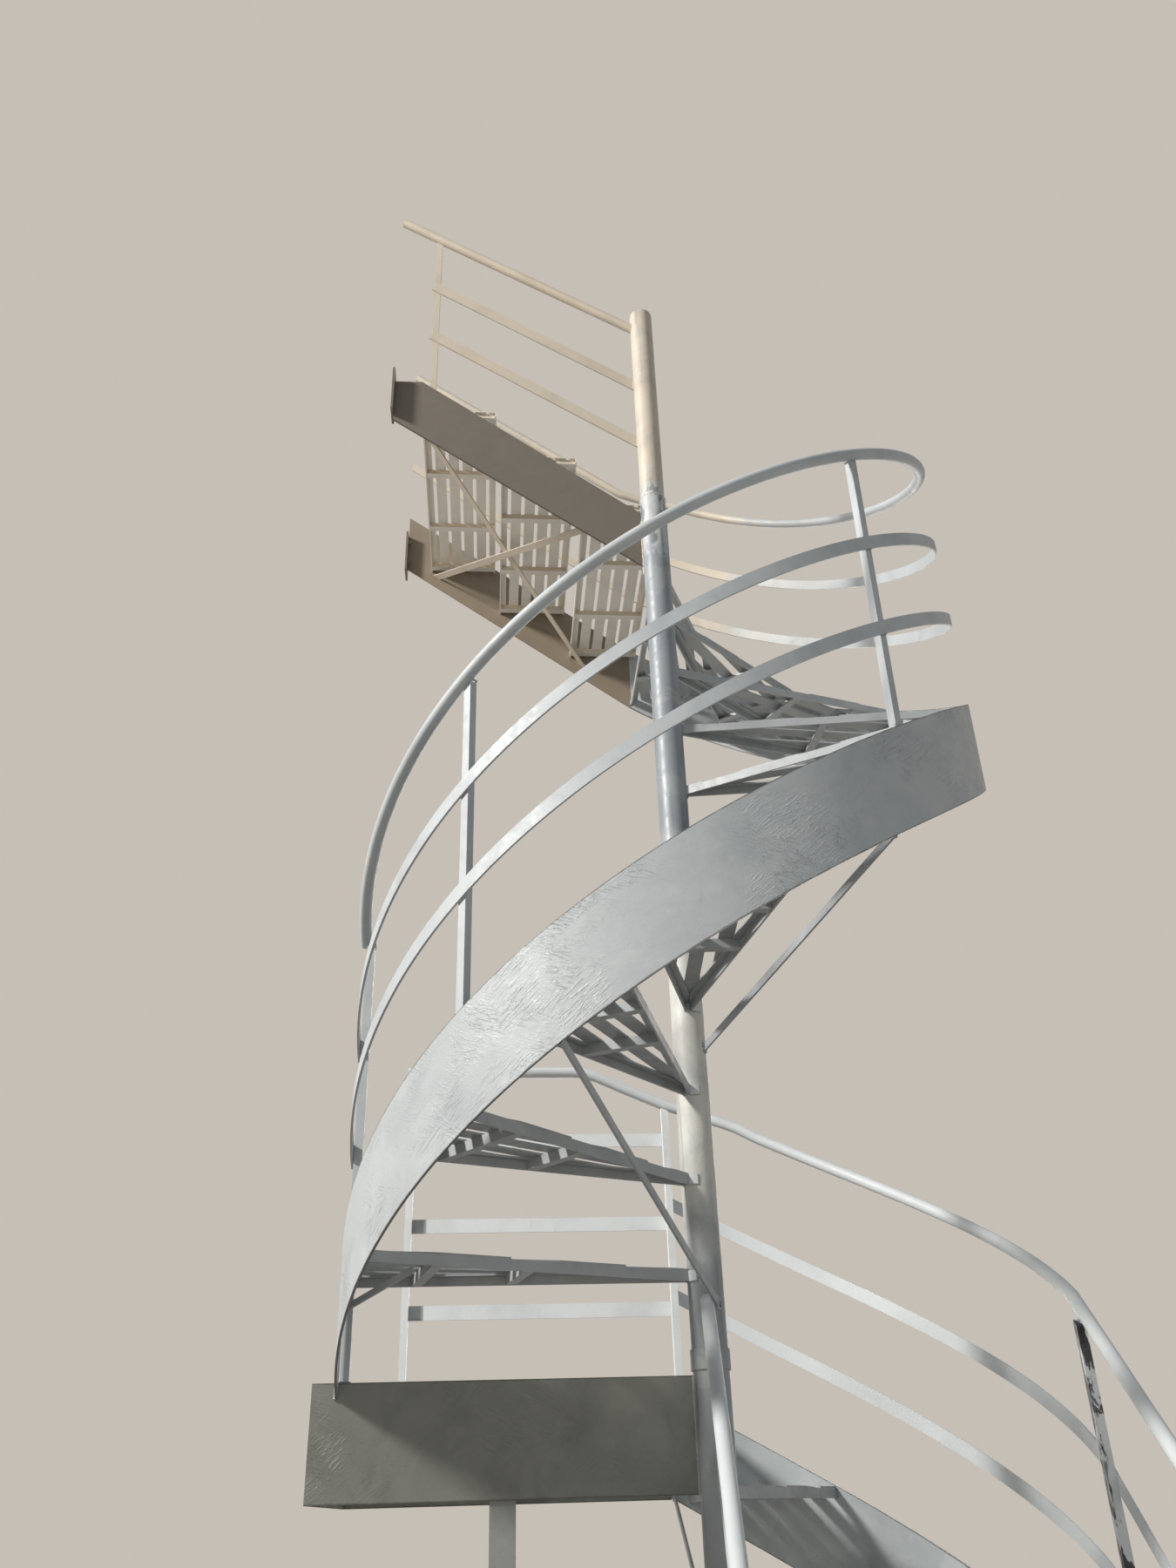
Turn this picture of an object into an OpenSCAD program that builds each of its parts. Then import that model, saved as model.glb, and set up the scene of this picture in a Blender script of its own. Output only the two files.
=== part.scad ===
// Outdoor steel stair: a spiral of eleven wedge treads round one column, with a
// short straight flight to an upper balcony, a quarter landing, and a lower
// flight that turns a quarter and runs down to the ground.
// Millimetres, +Z up. The origin is on the column axis at ground level,
// +Y points to the wall side and the balcony lies towards -X.

/* [Column] */
// Outside diameter of the lower column pipe
column_d = 89; // [76:1:102]
// Outside diameter of the upper column pipe
upper_column_d = 83; // [60:1:84]
// Wall thickness of the column pipes
column_wall = 5.5; // [3:0.5:8]
// Height of the column above the first step of the upper flight
column_head_h = 940; // [900:10:1100]
// Side of the square plate under the column
base_plate_w = 250; // [180:10:300]
// Thickness of the plate that stands on the ground
base_plate_t = 12; // [8:1:20]
// Height of the collar ring above the landing
collar_h = 46; // [30:1:80]

/* [Stairs] */
// Height of one step in the spiral and the lower flight
rise = 229; // [200:1:240]
// Radius of the outer stringer's middle line
stair_r = 886; // [820:1:980]
// Height of one step in the upper straight flight
upper_rise = 211; // [190:1:225]
// Depth from nose to nose in the upper straight flight
upper_going = 284; // [260:1:320]
// Depth from nose to nose in the lower straight flight
lower_going = 300; // [270:1:330]
// Turn of one winder in the lower flight, in degrees
winder_angle = 27.5; // [25:0.5:30]

/* [Plates] */
// Thickness of the stringer and landing plates
plate_t = 6; // [5:1:10]
// Upright height of the outer stringer plates
outer_plate_h = 277; // [250:1:310]
// Upright height of the near stringer of the upper flight, at the column
near_plate_h = 232; // [200:1:280]
// How much higher the near stringer is at its balcony end
near_plate_flare = 34; // [0:1:60]
// Height of the landing plates
landing_plate_h = 250; // [200:1:290]

/* [Treads] */
// Leg of the angle bars that edge each tread
tread_angle = 25; // [20:1:40]
// Thickness of the angle bars
angle_t = 5; // [4:1:6]
// Width of one slat
slat_w = 38; // [30:1:45]
// Gap between the slats of a straight tread
slat_gap = 13; // [8:1:20]
// Gap between the slats of a wedge tread
wedge_gap = 27; // [15:1:40]
// Thickness of a slat
slat_t = 5; // [4:1:8]
// Foot leg of the angle cross bars under the slats
cross_w = 25; // [16:1:32]
// Thickness of the cross bars
cross_t = 5; // [4:1:8]
// Depth of a tread in the straight flights
straight_tread_depth = 264; // [230:1:276]

/* [Guards] */
// Diameter of the round top rails
rail_d = 34; // [30:1:48]
// Height of the spiral's top rail above the stringer's top edge
guard_h = 889; // [850:1:1000]
// Height of the lower flight's top rail above the stringer's top edge
lower_guard_h = 924; // [880:1:1000]
// Height of the upper flat rail above the stringer's top edge
flat_high = 573; // [500:1:620]
// Height of the lower flat rail above the stringer's top edge
flat_low = 295; // [220:1:340]
// Upright height of a flat rail
flat_h = 42; // [30:1:50]
// Thickness of a flat rail
flat_t = 6; // [5:1:10]
// Side of the square posts
post_w = 22; // [20:1:30]
// Height of the landing guard's top rail
landing_guard_h = 1015; // [950:1:1100]

/* [Landing] */
// Length of the landing from the column axis to its far plate
landing_l = 944; // [900:1:1050]
// Side of the square landing legs
leg_w = 60; // [40:1:80]
// Distance of the landing legs from the column axis
leg_x = 497; // [300:1:700]

/* [Hidden] */
spiral_steps = 11;
upper_steps = 3;
winders = 3;
lower_straight_steps = 4;
$fn = 48;

// Clearance between pieces that meet, and a length that passes well beyond any piece
fit = 0.3;
beyond = 4 * stair_r;
// The bars of one welded wedge tread bed into each other by this much
bed = 0.5;
column_r = column_d / 2;
upper_column_r = upper_column_d / 2;
// The spiral turns three quarters, from the landing's front edge to the wall side
spiral_from = 180;
spiral_to = 450;
spiral_segments = 60;
spiral_step_angle = (spiral_to - spiral_from) / spiral_steps;
// The spiral's steps stand a little above even rises from the landing
spiral_lift = 10;
// How far a stringer's top edge stands above the step noses
stringer_lip = 2;
landing_z = (winders + lower_straight_steps + 1) * rise;
upper_first_z = landing_z + spiral_lift + (spiral_steps + 1) * rise;
upper_slope = upper_rise / upper_going;
lower_slope = rise / lower_going;
spiral_slope = rise / (stair_r * spiral_step_angle * PI / 180);
// The upper flight's first nose, and the run of its stringers to the balcony
upper_nose_x = 24;
// The upper treads lie this far below the far stringer's nose line
upper_tread_drop = 10;
upper_run = (upper_steps + 0.2) * upper_going;
// The near stringer starts this far below the first step's level
near_drop = 91;
// The lower flight leaves the landing at the first azimuth and runs straight after the second
landing_edge_az = 86.5;
lower_turn_az = -7;
lower_segments = 24;
// The landing's deck and the guard posts reach this far past the column axis
deck_nose_x = 42;
inner_r = stair_r - plate_t / 2;
// Inside the flats of the rolled plates
clear_r = inner_r * cos((spiral_to - spiral_from) / spiral_segments / 2) - fit;
clear_y = sqrt(clear_r * clear_r - deck_nose_x * deck_nose_x) - fit;
near_y = plate_t / 2 + fit;
far_y = inner_r - fit;
// Posts lap the stringers by this much
post_lap = 80;
// The lower flight's rails end this far down its straight run
lower_rail_run = 1150;
// A swept rail has this many sides
rail_sides = 12;
// Colours
paint_grey = [0.66, 0.69, 0.70];
paint_cream = [0.80, 0.75, 0.66];

// Height of the spiral's nose line at azimuth az
function spiral_nose_z(az) = landing_z + spiral_lift + rise * (1 + (az - spiral_from) / spiral_step_angle);
// Height of the lower flight's nose line at azimuth az
function winder_nose_z(az) = landing_z - rise * (landing_edge_az - az) / winder_angle;
// Stations along a line of climb: [x, y, height of the stringer's top edge, outward x, outward y]
function station(r, az, z) = [r * cos(az), r * sin(az), z, cos(az), sin(az)];
function spiral_stations(r, from_az) = [
    for (i = [0:spiral_segments])
        let (az = from_az + (spiral_to - from_az) * i / spiral_segments)
        station(r, az, spiral_nose_z(az) + stringer_lip)
];
function winder_stations(r, from_az) = [
    for (i = [0:lower_segments])
        let (az = from_az + (lower_turn_az - from_az) * i / lower_segments)
        station(r, az, winder_nose_z(az) + stringer_lip)
];
// Stations of the straight run that follows the winders, s measured down the flight
function lower_run_station(w, s) = [
    w * cos(lower_turn_az) + s * sin(lower_turn_az),
    w * sin(lower_turn_az) - s * cos(lower_turn_az),
    winder_nose_z(lower_turn_az) + stringer_lip - lower_slope * s,
    cos(lower_turn_az), sin(lower_turn_az)
];
function lift(stations, dz) = [for (p = stations) [p[0], p[1], p[2] + dz, p[3], p[4]]];
function unit(v) = v / norm(v);
function point(s) = [s[0], s[1], s[2]];
function around(r, az, z) = [r * cos(az), r * sin(az), z];
function tangent(st, i) = unit(point(st[min(i + 1, len(st) - 1)]) - point(st[max(i - 1, 0)]));
// How deep a top rail's underside lies where it passes over a post's outer face, at this distance
// from the rail's middle: a rail swept along stations has flat sides, a straight one is round
function swept_rail_under(d) = rail_d / 2 - d * tan(180 / rail_sides);
function round_rail_under(d) = sqrt(rail_d * rail_d / 4 - d * d);

// Closes a row of rings, each with the same number of points, into one solid
module skin_rings(rings) {
    n = len(rings[0]);
    m = len(rings);
    sides = [
        for (i = [0:m - 2], j = [0:n - 1])
            [i * n + j, i * n + (j + 1) % n, (i + 1) * n + (j + 1) % n, (i + 1) * n + j]
    ];
    first = [for (j = [0:n - 1]) n - 1 - j];
    last = [for (j = [0:n - 1]) (m - 1) * n + j];
    polyhedron(points = [for (r = rings) each r], faces = concat([first], sides, [last]), convexity = 8);
}
// Upright plate along stations, from drop below each station's height up to it
module plate_along(stations, t, drop) {
    skin_rings([
        for (p = stations)
            let (ix = p[3] * t / 2, iy = p[4] * t / 2)
            [
                [p[0] - ix, p[1] - iy, p[2] - drop], [p[0] + ix, p[1] + iy, p[2] - drop],
                [p[0] + ix, p[1] + iy, p[2]], [p[0] - ix, p[1] - iy, p[2]]
            ]
    ]);
}
// Round bar along stations
module bar_along(stations, d) {
    skin_rings([
        for (i = [0:len(stations) - 1])
            let (p = stations[i], t = tangent(stations, i), n = [p[3], p[4], 0], b = unit(cross(n, t)))
            [
                for (k = [0:rail_sides - 1])
                    let (a = 360 * k / rail_sides)
                    point(p) + d / 2 * (cos(a) * unit(cross(t, b)) + sin(a) * b)
            ]
    ]);
}
// Straight round bar between two points
module round_between(a, b, d) {
    v = b - a;
    translate(a)
        rotate([0, acos(v[2] / norm(v)), atan2(v[1], v[0])])
            cylinder(d = d, h = norm(v));
}
// Straight flat bar between two points, w wide upright and t thick, run on at both ends
module flat_between(a, b, w, t, run_on = 0) {
    v = b - a;
    translate(a)
        rotate([0, -asin(v[2] / norm(v)), atan2(v[1], v[0])])
            translate([-run_on, -t / 2, -w / 2])
                cube([norm(v) + 2 * run_on, t, w]);
}
// Square post from x = 0 outwards, cut at the top to suit a rail that climbs along +Y and
// whose underside lies at this depth below its middle
module post(foot, rail_z, slope, under) {
    half = post_w / 2;
    top = rail_z - under * sqrt(1 + slope * slope) - fit;
    rotate([90, 0, 90])
        linear_extrude(post_w)
            polygon([
                [-half, foot], [half, foot], [half, top + half * slope], [-half, top - half * slope]
            ]);
}
// The room that the column's pipe takes, with the clearance
module column_room(r = column_r) {
    cylinder(r = r + fit, h = 2 * beyond + landing_z);
}

// Angle bar along +X with its outer corner on the X axis: the top leg towards +Y
module angle_bar(length) {
    rotate([90, 0, 90])
        linear_extrude(length)
            polygon([
                [0, 0], [tread_angle, 0], [tread_angle, -angle_t],
                [angle_t, -angle_t], [angle_t, -tread_angle], [0, -tread_angle]
            ]);
}
// Cross bar along +Y: an angle whose standing leg hangs depth down from height 0, just
// before x = 0, and whose foot leg runs on towards -X
module cross_bar(length, depth) {
    translate([0, length, 0])
        rotate([90, 0, 0])
            linear_extrude(length)
                polygon([
                    [0, 0], [-cross_t, 0], [-cross_t, cross_t - depth],
                    [-cross_w, cross_t - depth], [-cross_w, -depth], [0, -depth]
                ]);
}
// The cross bars stop this far above the bottom of the side bars
cross_lift = 1;
// Height of a cross bar where the slats lie flush between the side bars
flush_cross_h = tread_angle - slat_t - cross_lift + bed / 2;
// Everything between two radial edges, set in by inset from each, near height 0
module wedge_volume(angle, inset) {
    apex = inset / sin(angle / 2) * [cos(angle / 2), sin(angle / 2)];
    translate([0, 0, -2 * tread_angle])
        linear_extrude(3 * tread_angle)
            polygon([apex, apex + beyond * [1, 0], apex + beyond * [cos(angle), sin(angle)]]);
}
// Half of the room between two radial edges, short of its middle line by gap
module half_wedge_volume(angle, gap) {
    apex = [gap / sin(angle / 2), -1];
    translate([0, 0, -2 * tread_angle])
        linear_extrude(3 * tread_angle)
            polygon([apex, apex + beyond * [1, 0], apex + beyond * [cos(angle / 2), sin(angle / 2)]]);
}
// Wedge tread with its top at z, from azimuth low_az over angle: slats on two angle bars,
// which are mitred at the column, with two cross bars under the slats
module wedge_tread(z, low_az, angle) {
    middle = angle / 2;
    pitch = slat_w + wedge_gap;
    slats = floor(clear_r * sin(middle) / pitch);
    cross_at = [0.52, 0.773];
    mitre_gap = 0.8;
    translate([0, 0, z])
        rotate([0, 0, low_az])
            difference() {
                intersection() {
                    union() {
                        intersection() {
                            translate([0, 0, bed - slat_t]) angle_bar(clear_r + 1);
                            half_wedge_volume(angle, mitre_gap);
                        }
                        rotate([0, 0, angle])
                            mirror([0, 1, 0])
                                intersection() {
                                    translate([0, 0, bed - slat_t]) angle_bar(clear_r + 1);
                                    half_wedge_volume(angle, mitre_gap);
                                }
                        intersection() {
                            rotate([0, 0, middle])
                                for (i = [-slats:slats])
                                    translate([0, i * pitch - slat_w / 2, -slat_t])
                                        cube([clear_r + 1, slat_w, slat_t]);
                            wedge_volume(angle, angle_t / 3);
                        }
                        intersection() {
                            rotate([0, 0, middle])
                                for (r = cross_at)
                                    translate([clear_r * r + cross_w, -clear_r, bed / 2 - slat_t])
                                        cross_bar(2 * clear_r, tread_angle - cross_lift);
                            wedge_volume(angle, angle_t / 2);
                        }
                    }
                    translate([0, 0, -2 * tread_angle]) cylinder(r = clear_r, h = 3 * tread_angle, $fn = 180);
                }
                translate([0, 0, -2 * tread_angle]) cylinder(r = column_r + fit, h = 3 * tread_angle);
            }
}
// Where the cross bars lie along the width of a straight tread
straight_cross_at = [0.01, 0.35, 0.7, 0.99];
// Rectangular tread: nose at x = 0, depth towards -X, width along +Y, top at z = 0
module straight_tread(width, depth) {
    pitch = slat_w + slat_gap;
    inside = depth - 2 * tread_angle;
    slats = floor((inside - slat_gap / 2) / pitch);
    gap = (inside - slats * slat_w) / (slats + 1);
    rotate([0, 0, 90]) angle_bar(width);
    translate([-depth, 0, 0]) mirror([1, 0, 0]) rotate([0, 0, 90]) angle_bar(width);
    for (i = [1:slats])
        translate([-tread_angle - i * (slat_w + gap), 0, -slat_t]) cube([slat_w, width, slat_t]);
    for (f = straight_cross_at)
        translate([-depth + 1, (width - cross_w) * f, bed / 2 - slat_t])
            rotate([0, 0, -90])
                cross_bar(depth - 2, flush_cross_h);
}

// The column: a lower pipe from its base plate, a slimmer upper pipe and a collar
module column_lower_pipe() {
    color(paint_grey)
        translate([0, 0, base_plate_t])
            difference() {
                cylinder(d = column_d, h = upper_first_z - base_plate_t);
                translate([0, 0, -1])
                    cylinder(d = column_d - 2 * column_wall, h = upper_first_z);
            }
}
module column_upper_pipe() {
    cap = 8;
    edge = 4;
    color(paint_cream)
        translate([0, 0, upper_first_z])
            rotate_extrude()
                polygon([
                    [upper_column_r - column_wall, 0], [upper_column_r, 0],
                    [upper_column_r, column_head_h - edge], [upper_column_r - edge, column_head_h],
                    [0, column_head_h], [0, column_head_h - cap],
                    [upper_column_r - column_wall, column_head_h - cap]
                ]);
}
collar_ring = 4;
collar_z = landing_z + 10;
module column_collar() {
    color(paint_grey)
        translate([0, 0, collar_z])
            difference() {
                cylinder(r = column_r + collar_ring, h = collar_h);
                translate([0, 0, -1]) cylinder(r = column_r + fit, h = collar_h + 2);
            }
}
// The room that the column takes with its collar, with the clearance
module collar_room() {
    column_room();
    translate([0, 0, collar_z - fit]) cylinder(r = column_r + collar_ring + fit, h = collar_h + 2 * fit);
}
module column_base_plate() {
    hole = base_plate_w / 2 - 30;
    bolt_hole_d = 18;
    color(paint_grey)
        difference() {
            translate([-base_plate_w / 2, -base_plate_w / 2, 0])
                cube([base_plate_w, base_plate_w, base_plate_t]);
            for (x = [-hole, hole], y = [-hole, hole])
                translate([x, y, -1]) cylinder(d = bolt_hole_d, h = base_plate_t + 2);
        }
}

// The stringers
module spiral_stringer() {
    start = spiral_from + asin(near_y / inner_r);
    color(paint_grey)
        plate_along(spiral_stations(stair_r, start), plate_t, outer_plate_h);
}
module upper_far_stringer() {
    top = upper_first_z + stringer_lip;
    end_top = top + upper_run * upper_slope;
    color(paint_cream)
        translate([0, stair_r, 0])
            rotate([90, 0, 0])
                linear_extrude(plate_t, center = true)
                    polygon([
                        [-fit, top - outer_plate_h], [-fit, top],
                        [-upper_run, end_top], [-upper_run, end_top - outer_plate_h]
                    ]);
}
// Height of the near stringer's top edge at x, before its end is cut level
function near_top_z(x) = upper_first_z - near_drop - x * (upper_slope + near_plate_flare / upper_run);
module upper_near_stringer() {
    low = upper_first_z - near_drop - near_plate_h;
    level = upper_first_z + upper_steps * upper_rise - near_drop;
    level_x = -upper_run * (level - near_top_z(0)) / (near_top_z(-upper_run) - near_top_z(0));
    color(paint_cream)
        difference() {
            rotate([90, 0, 0])
                linear_extrude(plate_t, center = true)
                    polygon([
                        [0, low], [0, near_top_z(0)], [level_x, level],
                        [-upper_run, level], [-upper_run, low + upper_run * upper_slope]
                    ]);
            column_room();
        }
}
// The plate of the lower straight run at distance w from the column axis
module lower_plate(w) {
    toe = 60;
    z0 = winder_nose_z(lower_turn_az) + stringer_lip;
    heel_s = (z0 - outer_plate_h) / lower_slope;
    foot_s = (z0 - toe) / lower_slope;
    rotate([0, 0, lower_turn_az])
        translate([w, 0, 0])
            rotate([90, 0, -90])
                linear_extrude(plate_t, center = true)
                    polygon([
                        [fit, z0 - outer_plate_h], [heel_s, 0], [foot_s, 0], [foot_s, toe], [fit, z0]
                    ]);
}
module lower_curved_stringer() {
    start = 90 - asin(fit / inner_r);
    color(paint_grey)
        plate_along(winder_stations(stair_r, start), plate_t, outer_plate_h);
}
module lower_outer_stringer() {
    color(paint_grey) lower_plate(stair_r);
}
module lower_inner_stringer() {
    color(paint_grey)
        difference() {
            lower_plate(0);
            column_room();
        }
}

// Treads
module spiral_tread(k) {
    color(paint_grey)
        wedge_tread(
            landing_z + spiral_lift + k * rise,
            spiral_from + (k - 1) * spiral_step_angle, spiral_step_angle
        );
}
module spiral_tread_1() spiral_tread(1);
module spiral_tread_2() spiral_tread(2);
module spiral_tread_3() spiral_tread(3);
module spiral_tread_4() spiral_tread(4);
module spiral_tread_5() spiral_tread(5);
module spiral_tread_6() spiral_tread(6);
module spiral_tread_7() spiral_tread(7);
module spiral_tread_8() spiral_tread(8);
module spiral_tread_9() spiral_tread(9);
module spiral_tread_10() spiral_tread(10);
module spiral_tread_11() spiral_tread(11);
// Where a deck passes the column axis, its far edge keeps clear of the rolled plate
module rolled_plate_room() {
    translate([0, clear_y, 0]) cube([beyond, beyond, 3 * beyond]);
}
module upper_treads() {
    color(paint_cream)
        difference() {
            for (k = [0:upper_steps - 1])
                translate([
                    upper_nose_x - k * upper_going, near_y,
                    upper_first_z - upper_tread_drop + k * upper_rise
                ])
                    straight_tread(far_y - near_y, straight_tread_depth);
            column_room();
            rolled_plate_room();
        }
}
module lower_tread(k) {
    color(paint_grey)
        wedge_tread(landing_z - k * rise, landing_edge_az - k * winder_angle, winder_angle);
}
module lower_tread_1() lower_tread(1);
module lower_tread_2() lower_tread(2);
module lower_tread_3() lower_tread(3);
// The first tread after the winders: its nose is square to the straight run and its
// back edge is radial. Its top is at height 0, the run goes down towards -Y
module turn_tread(nose_s, angle) {
    pitch = slat_w + slat_gap;
    slats = ceil((nose_s + clear_r * sin(angle)) / pitch);
    arc_points = 4;
    difference() {
        intersection() {
            union() {
                translate([0, -nose_s, 0]) angle_bar(clear_r + 1);
                rotate([0, 0, angle]) mirror([0, 1, 0]) angle_bar(clear_r + 1);
                difference() {
                    for (i = [0:slats])
                        translate([0, tread_angle + slat_gap + i * pitch - nose_s, -slat_t])
                            cube([clear_r + 1, slat_w, slat_t]);
                    behind_line(angle, tread_angle + slat_gap);
                }
                difference() {
                    for (f = straight_cross_at)
                        translate([
                            near_y + cross_w + (clear_r - near_y - cross_w) * f, 1 - nose_s, bed / 2 - slat_t
                        ])
                            cross_bar(nose_s + clear_r / 2, flush_cross_h);
                    behind_line(angle, angle_t / 2);
                }
            }
            translate([0, 0, -2 * tread_angle])
                linear_extrude(3 * tread_angle)
                    polygon(concat(
                        [[near_y, angle_t], [near_y, -nose_s - 1], [clear_r, -nose_s - 1]],
                        [for (i = [0:arc_points]) clear_r * [
                            cos(i * (angle + 1) / arc_points), sin(i * (angle + 1) / arc_points)
                        ]]
                    ));
        }
        translate([0, 0, -2 * tread_angle]) cylinder(r = column_r + fit, h = 3 * tread_angle);
    }
}
// Everything behind a radial line at this azimuth, from inset before it
module behind_line(az, inset) {
    rotate([0, 0, az])
        translate([-beyond, -inset, -beyond])
            cube(2 * beyond);
}
module lower_straight_treads() {
    turn_tread_z = landing_z - (winders + 1) * rise;
    first_nose_s = (winder_nose_z(lower_turn_az) - turn_tread_z) / lower_slope;
    last_winder_az = landing_edge_az - winders * winder_angle;
    color(paint_grey)
        rotate([0, 0, lower_turn_az]) {
            translate([0, 0, turn_tread_z]) turn_tread(first_nose_s, last_winder_az - lower_turn_az);
            for (k = [1:lower_straight_steps - 1])
                translate([near_y, -first_nose_s - k * lower_going, turn_tread_z - k * rise])
                    rotate([0, 0, -90])
                        straight_tread(far_y - near_y, straight_tread_depth);
        }
}

// Guards
// The top rail dips a little where the spiral meets the straight flight
rail_dip = 46;
rail_dip_from = 435;
rail_start_az = 178.4;
function spiral_rail_z(az) = spiral_nose_z(az) + stringer_lip + guard_h
    - rail_dip * max(0, az - rail_dip_from) / (spiral_to - rail_dip_from);
// The straight run to the balcony: stations at height z above the first step's level
function upper_far_stations(z) = [
    for (s = [0.5, 1]) [-upper_run * s, stair_r, upper_first_z + upper_slope * upper_run * s + z, 0, 1]
];
module spiral_top_rail() {
    curve = [for (p = [0:spiral_segments])
        let (az = rail_start_az + (spiral_to - rail_start_az) * p / spiral_segments)
        station(stair_r, az, spiral_rail_z(az))];
    color(paint_grey)
        bar_along(concat(curve, upper_far_stations(stringer_lip + guard_h - rail_dip)), rail_d);
}
module spiral_flat_rails() {
    color(paint_grey)
        for (h = [flat_high, flat_low])
            plate_along(concat(
                lift(spiral_stations(stair_r, rail_start_az), h + flat_h / 2),
                upper_far_stations(stringer_lip + h + flat_h / 2)
            ), flat_t, flat_h);
}
// The first post stands on the landing, the others lap the stringer's inner face
spiral_post_az = [179.06, 226.7, 300.5, 441];
module spiral_posts() {
    color(paint_grey)
        for (az = spiral_post_az) {
            foot = az < spiral_from ? landing_z + fit : spiral_nose_z(az) + stringer_lip - post_lap;
            rotate([0, 0, az])
                translate([clear_r - post_w, 0, 0])
                    post(foot, spiral_rail_z(az), spiral_slope, swept_rail_under(stair_r - clear_r));
        }
}
// Rails of the near guard: heights above the first step's level at the column
near_top_h = 839;
near_high_h = 536;
near_low_h = 251;
// [height, slope]: the rails draw together a little towards the balcony
near_top = [near_top_h, 0.64];
near_flats = [[near_high_h, 0.668], [near_low_h, 0.69]];
near_rail_end = upper_run + 4;
// The near post stands short of the stringers' ends, and the flats end on it
near_post_x = -upper_run + 135;
near_flat_end = post_w / 2 - near_post_x;
module near_top_rail() {
    z = upper_first_z + near_top[0];
    color(paint_cream)
        difference() {
            round_between([0, 0, z], [-near_rail_end, 0, z + near_top[1] * near_rail_end], rail_d);
            column_room(upper_column_r);
        }
}
module near_flat_rails() {
    color(paint_cream)
        difference() {
            for (f = near_flats)
                flat_between(
                    [0, 0, upper_first_z + f[0]],
                    [-near_flat_end, 0, upper_first_z + f[0] + f[1] * near_flat_end], flat_h, flat_t
                );
            column_room(upper_column_r);
        }
}
module near_post() {
    color(paint_cream)
        translate([near_post_x, near_y, 0])
            rotate([0, 0, 90])
                post(
                    near_top_z(near_post_x) - post_lap,
                    upper_first_z + near_top[0] - near_top[1] * near_post_x, near_top[1],
                    round_rail_under(near_y)
                );
}

// Landing
module landing_front_plate() {
    color(paint_grey)
        translate([-landing_l, -plate_t / 2, landing_z - landing_plate_h])
            cube([landing_l - column_r - fit, plate_t, landing_plate_h]);
}
module landing_side_plates() {
    color(paint_grey)
        translate([0, 0, landing_z - landing_plate_h])
            linear_extrude(landing_plate_h)
                polygon([
                    [-landing_l, near_y], [-landing_l + plate_t, near_y],
                    [-landing_l + plate_t, inner_r], [0, inner_r],
                    [0, inner_r + plate_t], [-landing_l, inner_r + plate_t]
                ]);
}
module landing_deck() {
    ring = 5;
    color(paint_grey)
        difference() {
            translate([deck_nose_x, near_y, landing_z])
                straight_tread(far_y - near_y, landing_l + deck_nose_x - plate_t - fit);
            column_room(column_r + ring);
            rolled_plate_room();
        }
}
module landing_legs() {
    under_deck = 60;
    color(paint_grey)
        for (y = [near_y, far_y - leg_w])
            translate([-leg_x - leg_w / 2, y, 0])
                cube([leg_w, leg_w, landing_z - under_deck]);
}
// The landing's guard: flat bars outside two posts, which stand on the deck
landing_post_x = -790;
edge_post_x = 38;
landing_bars = [266, 521, 786];
// The top rail falls this far below the landing guard's height: at x, then at azimuths
fall_at_x = [[-812, 0], [-262, 0], [-222, 4], [-180, 18], [-78, 63]];
fall_at_az = [[87.2, 115], [82, 142], [77, 172], [72.5, 201]];
module landing_guard() {
    bar_end_x = edge_post_x - 1;
    edge_slope = 0.4;
    edge_drop = 2;
    color(paint_grey) {
        translate([landing_post_x, far_y - post_w, 0])
            rotate([0, 0, 90])
                post(landing_z + fit, landing_z + landing_guard_h, 0, swept_rail_under(stair_r - far_y));
        translate([edge_post_x, clear_y - fit - post_w, 0])
            rotate([0, 0, 90])
                post(
                    landing_z + fit, landing_z + landing_guard_h - fall_at_az[0][1] - edge_drop, edge_slope,
                    swept_rail_under(stair_r - far_y)
                );
        for (z = landing_bars)
            translate([landing_post_x - post_w / 2, inner_r, landing_z + z - flat_h / 2])
                cube([bar_end_x - landing_post_x + post_w / 2, flat_t, flat_h]);
    }
}
lower_stations_down = [for (s = [0.25, 0.5, 0.75, 1]) s * lower_rail_run];
module lower_top_rail() {
    from_az = 68;
    over_landing = concat(
        [for (f = fall_at_x) [f[0], stair_r, landing_z + landing_guard_h - f[1], 0, 1]],
        [for (f = fall_at_az) station(stair_r, f[0], landing_z + landing_guard_h - f[1])]
    );
    run = [for (s = lower_stations_down) lower_run_station(stair_r, s)];
    color(paint_grey)
        bar_along(concat(
            over_landing, lift(winder_stations(stair_r, from_az), lower_guard_h), lift(run, lower_guard_h)
        ), rail_d);
}
module lower_flat_rails() {
    start = acos((edge_post_x + 1) / inner_r);
    run = [for (s = lower_stations_down) lower_run_station(stair_r, s)];
    color(paint_grey)
        for (h = [flat_high, flat_low])
            plate_along(lift(concat(winder_stations(stair_r, start), run), h + flat_h / 2), flat_t, flat_h);
}
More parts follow.
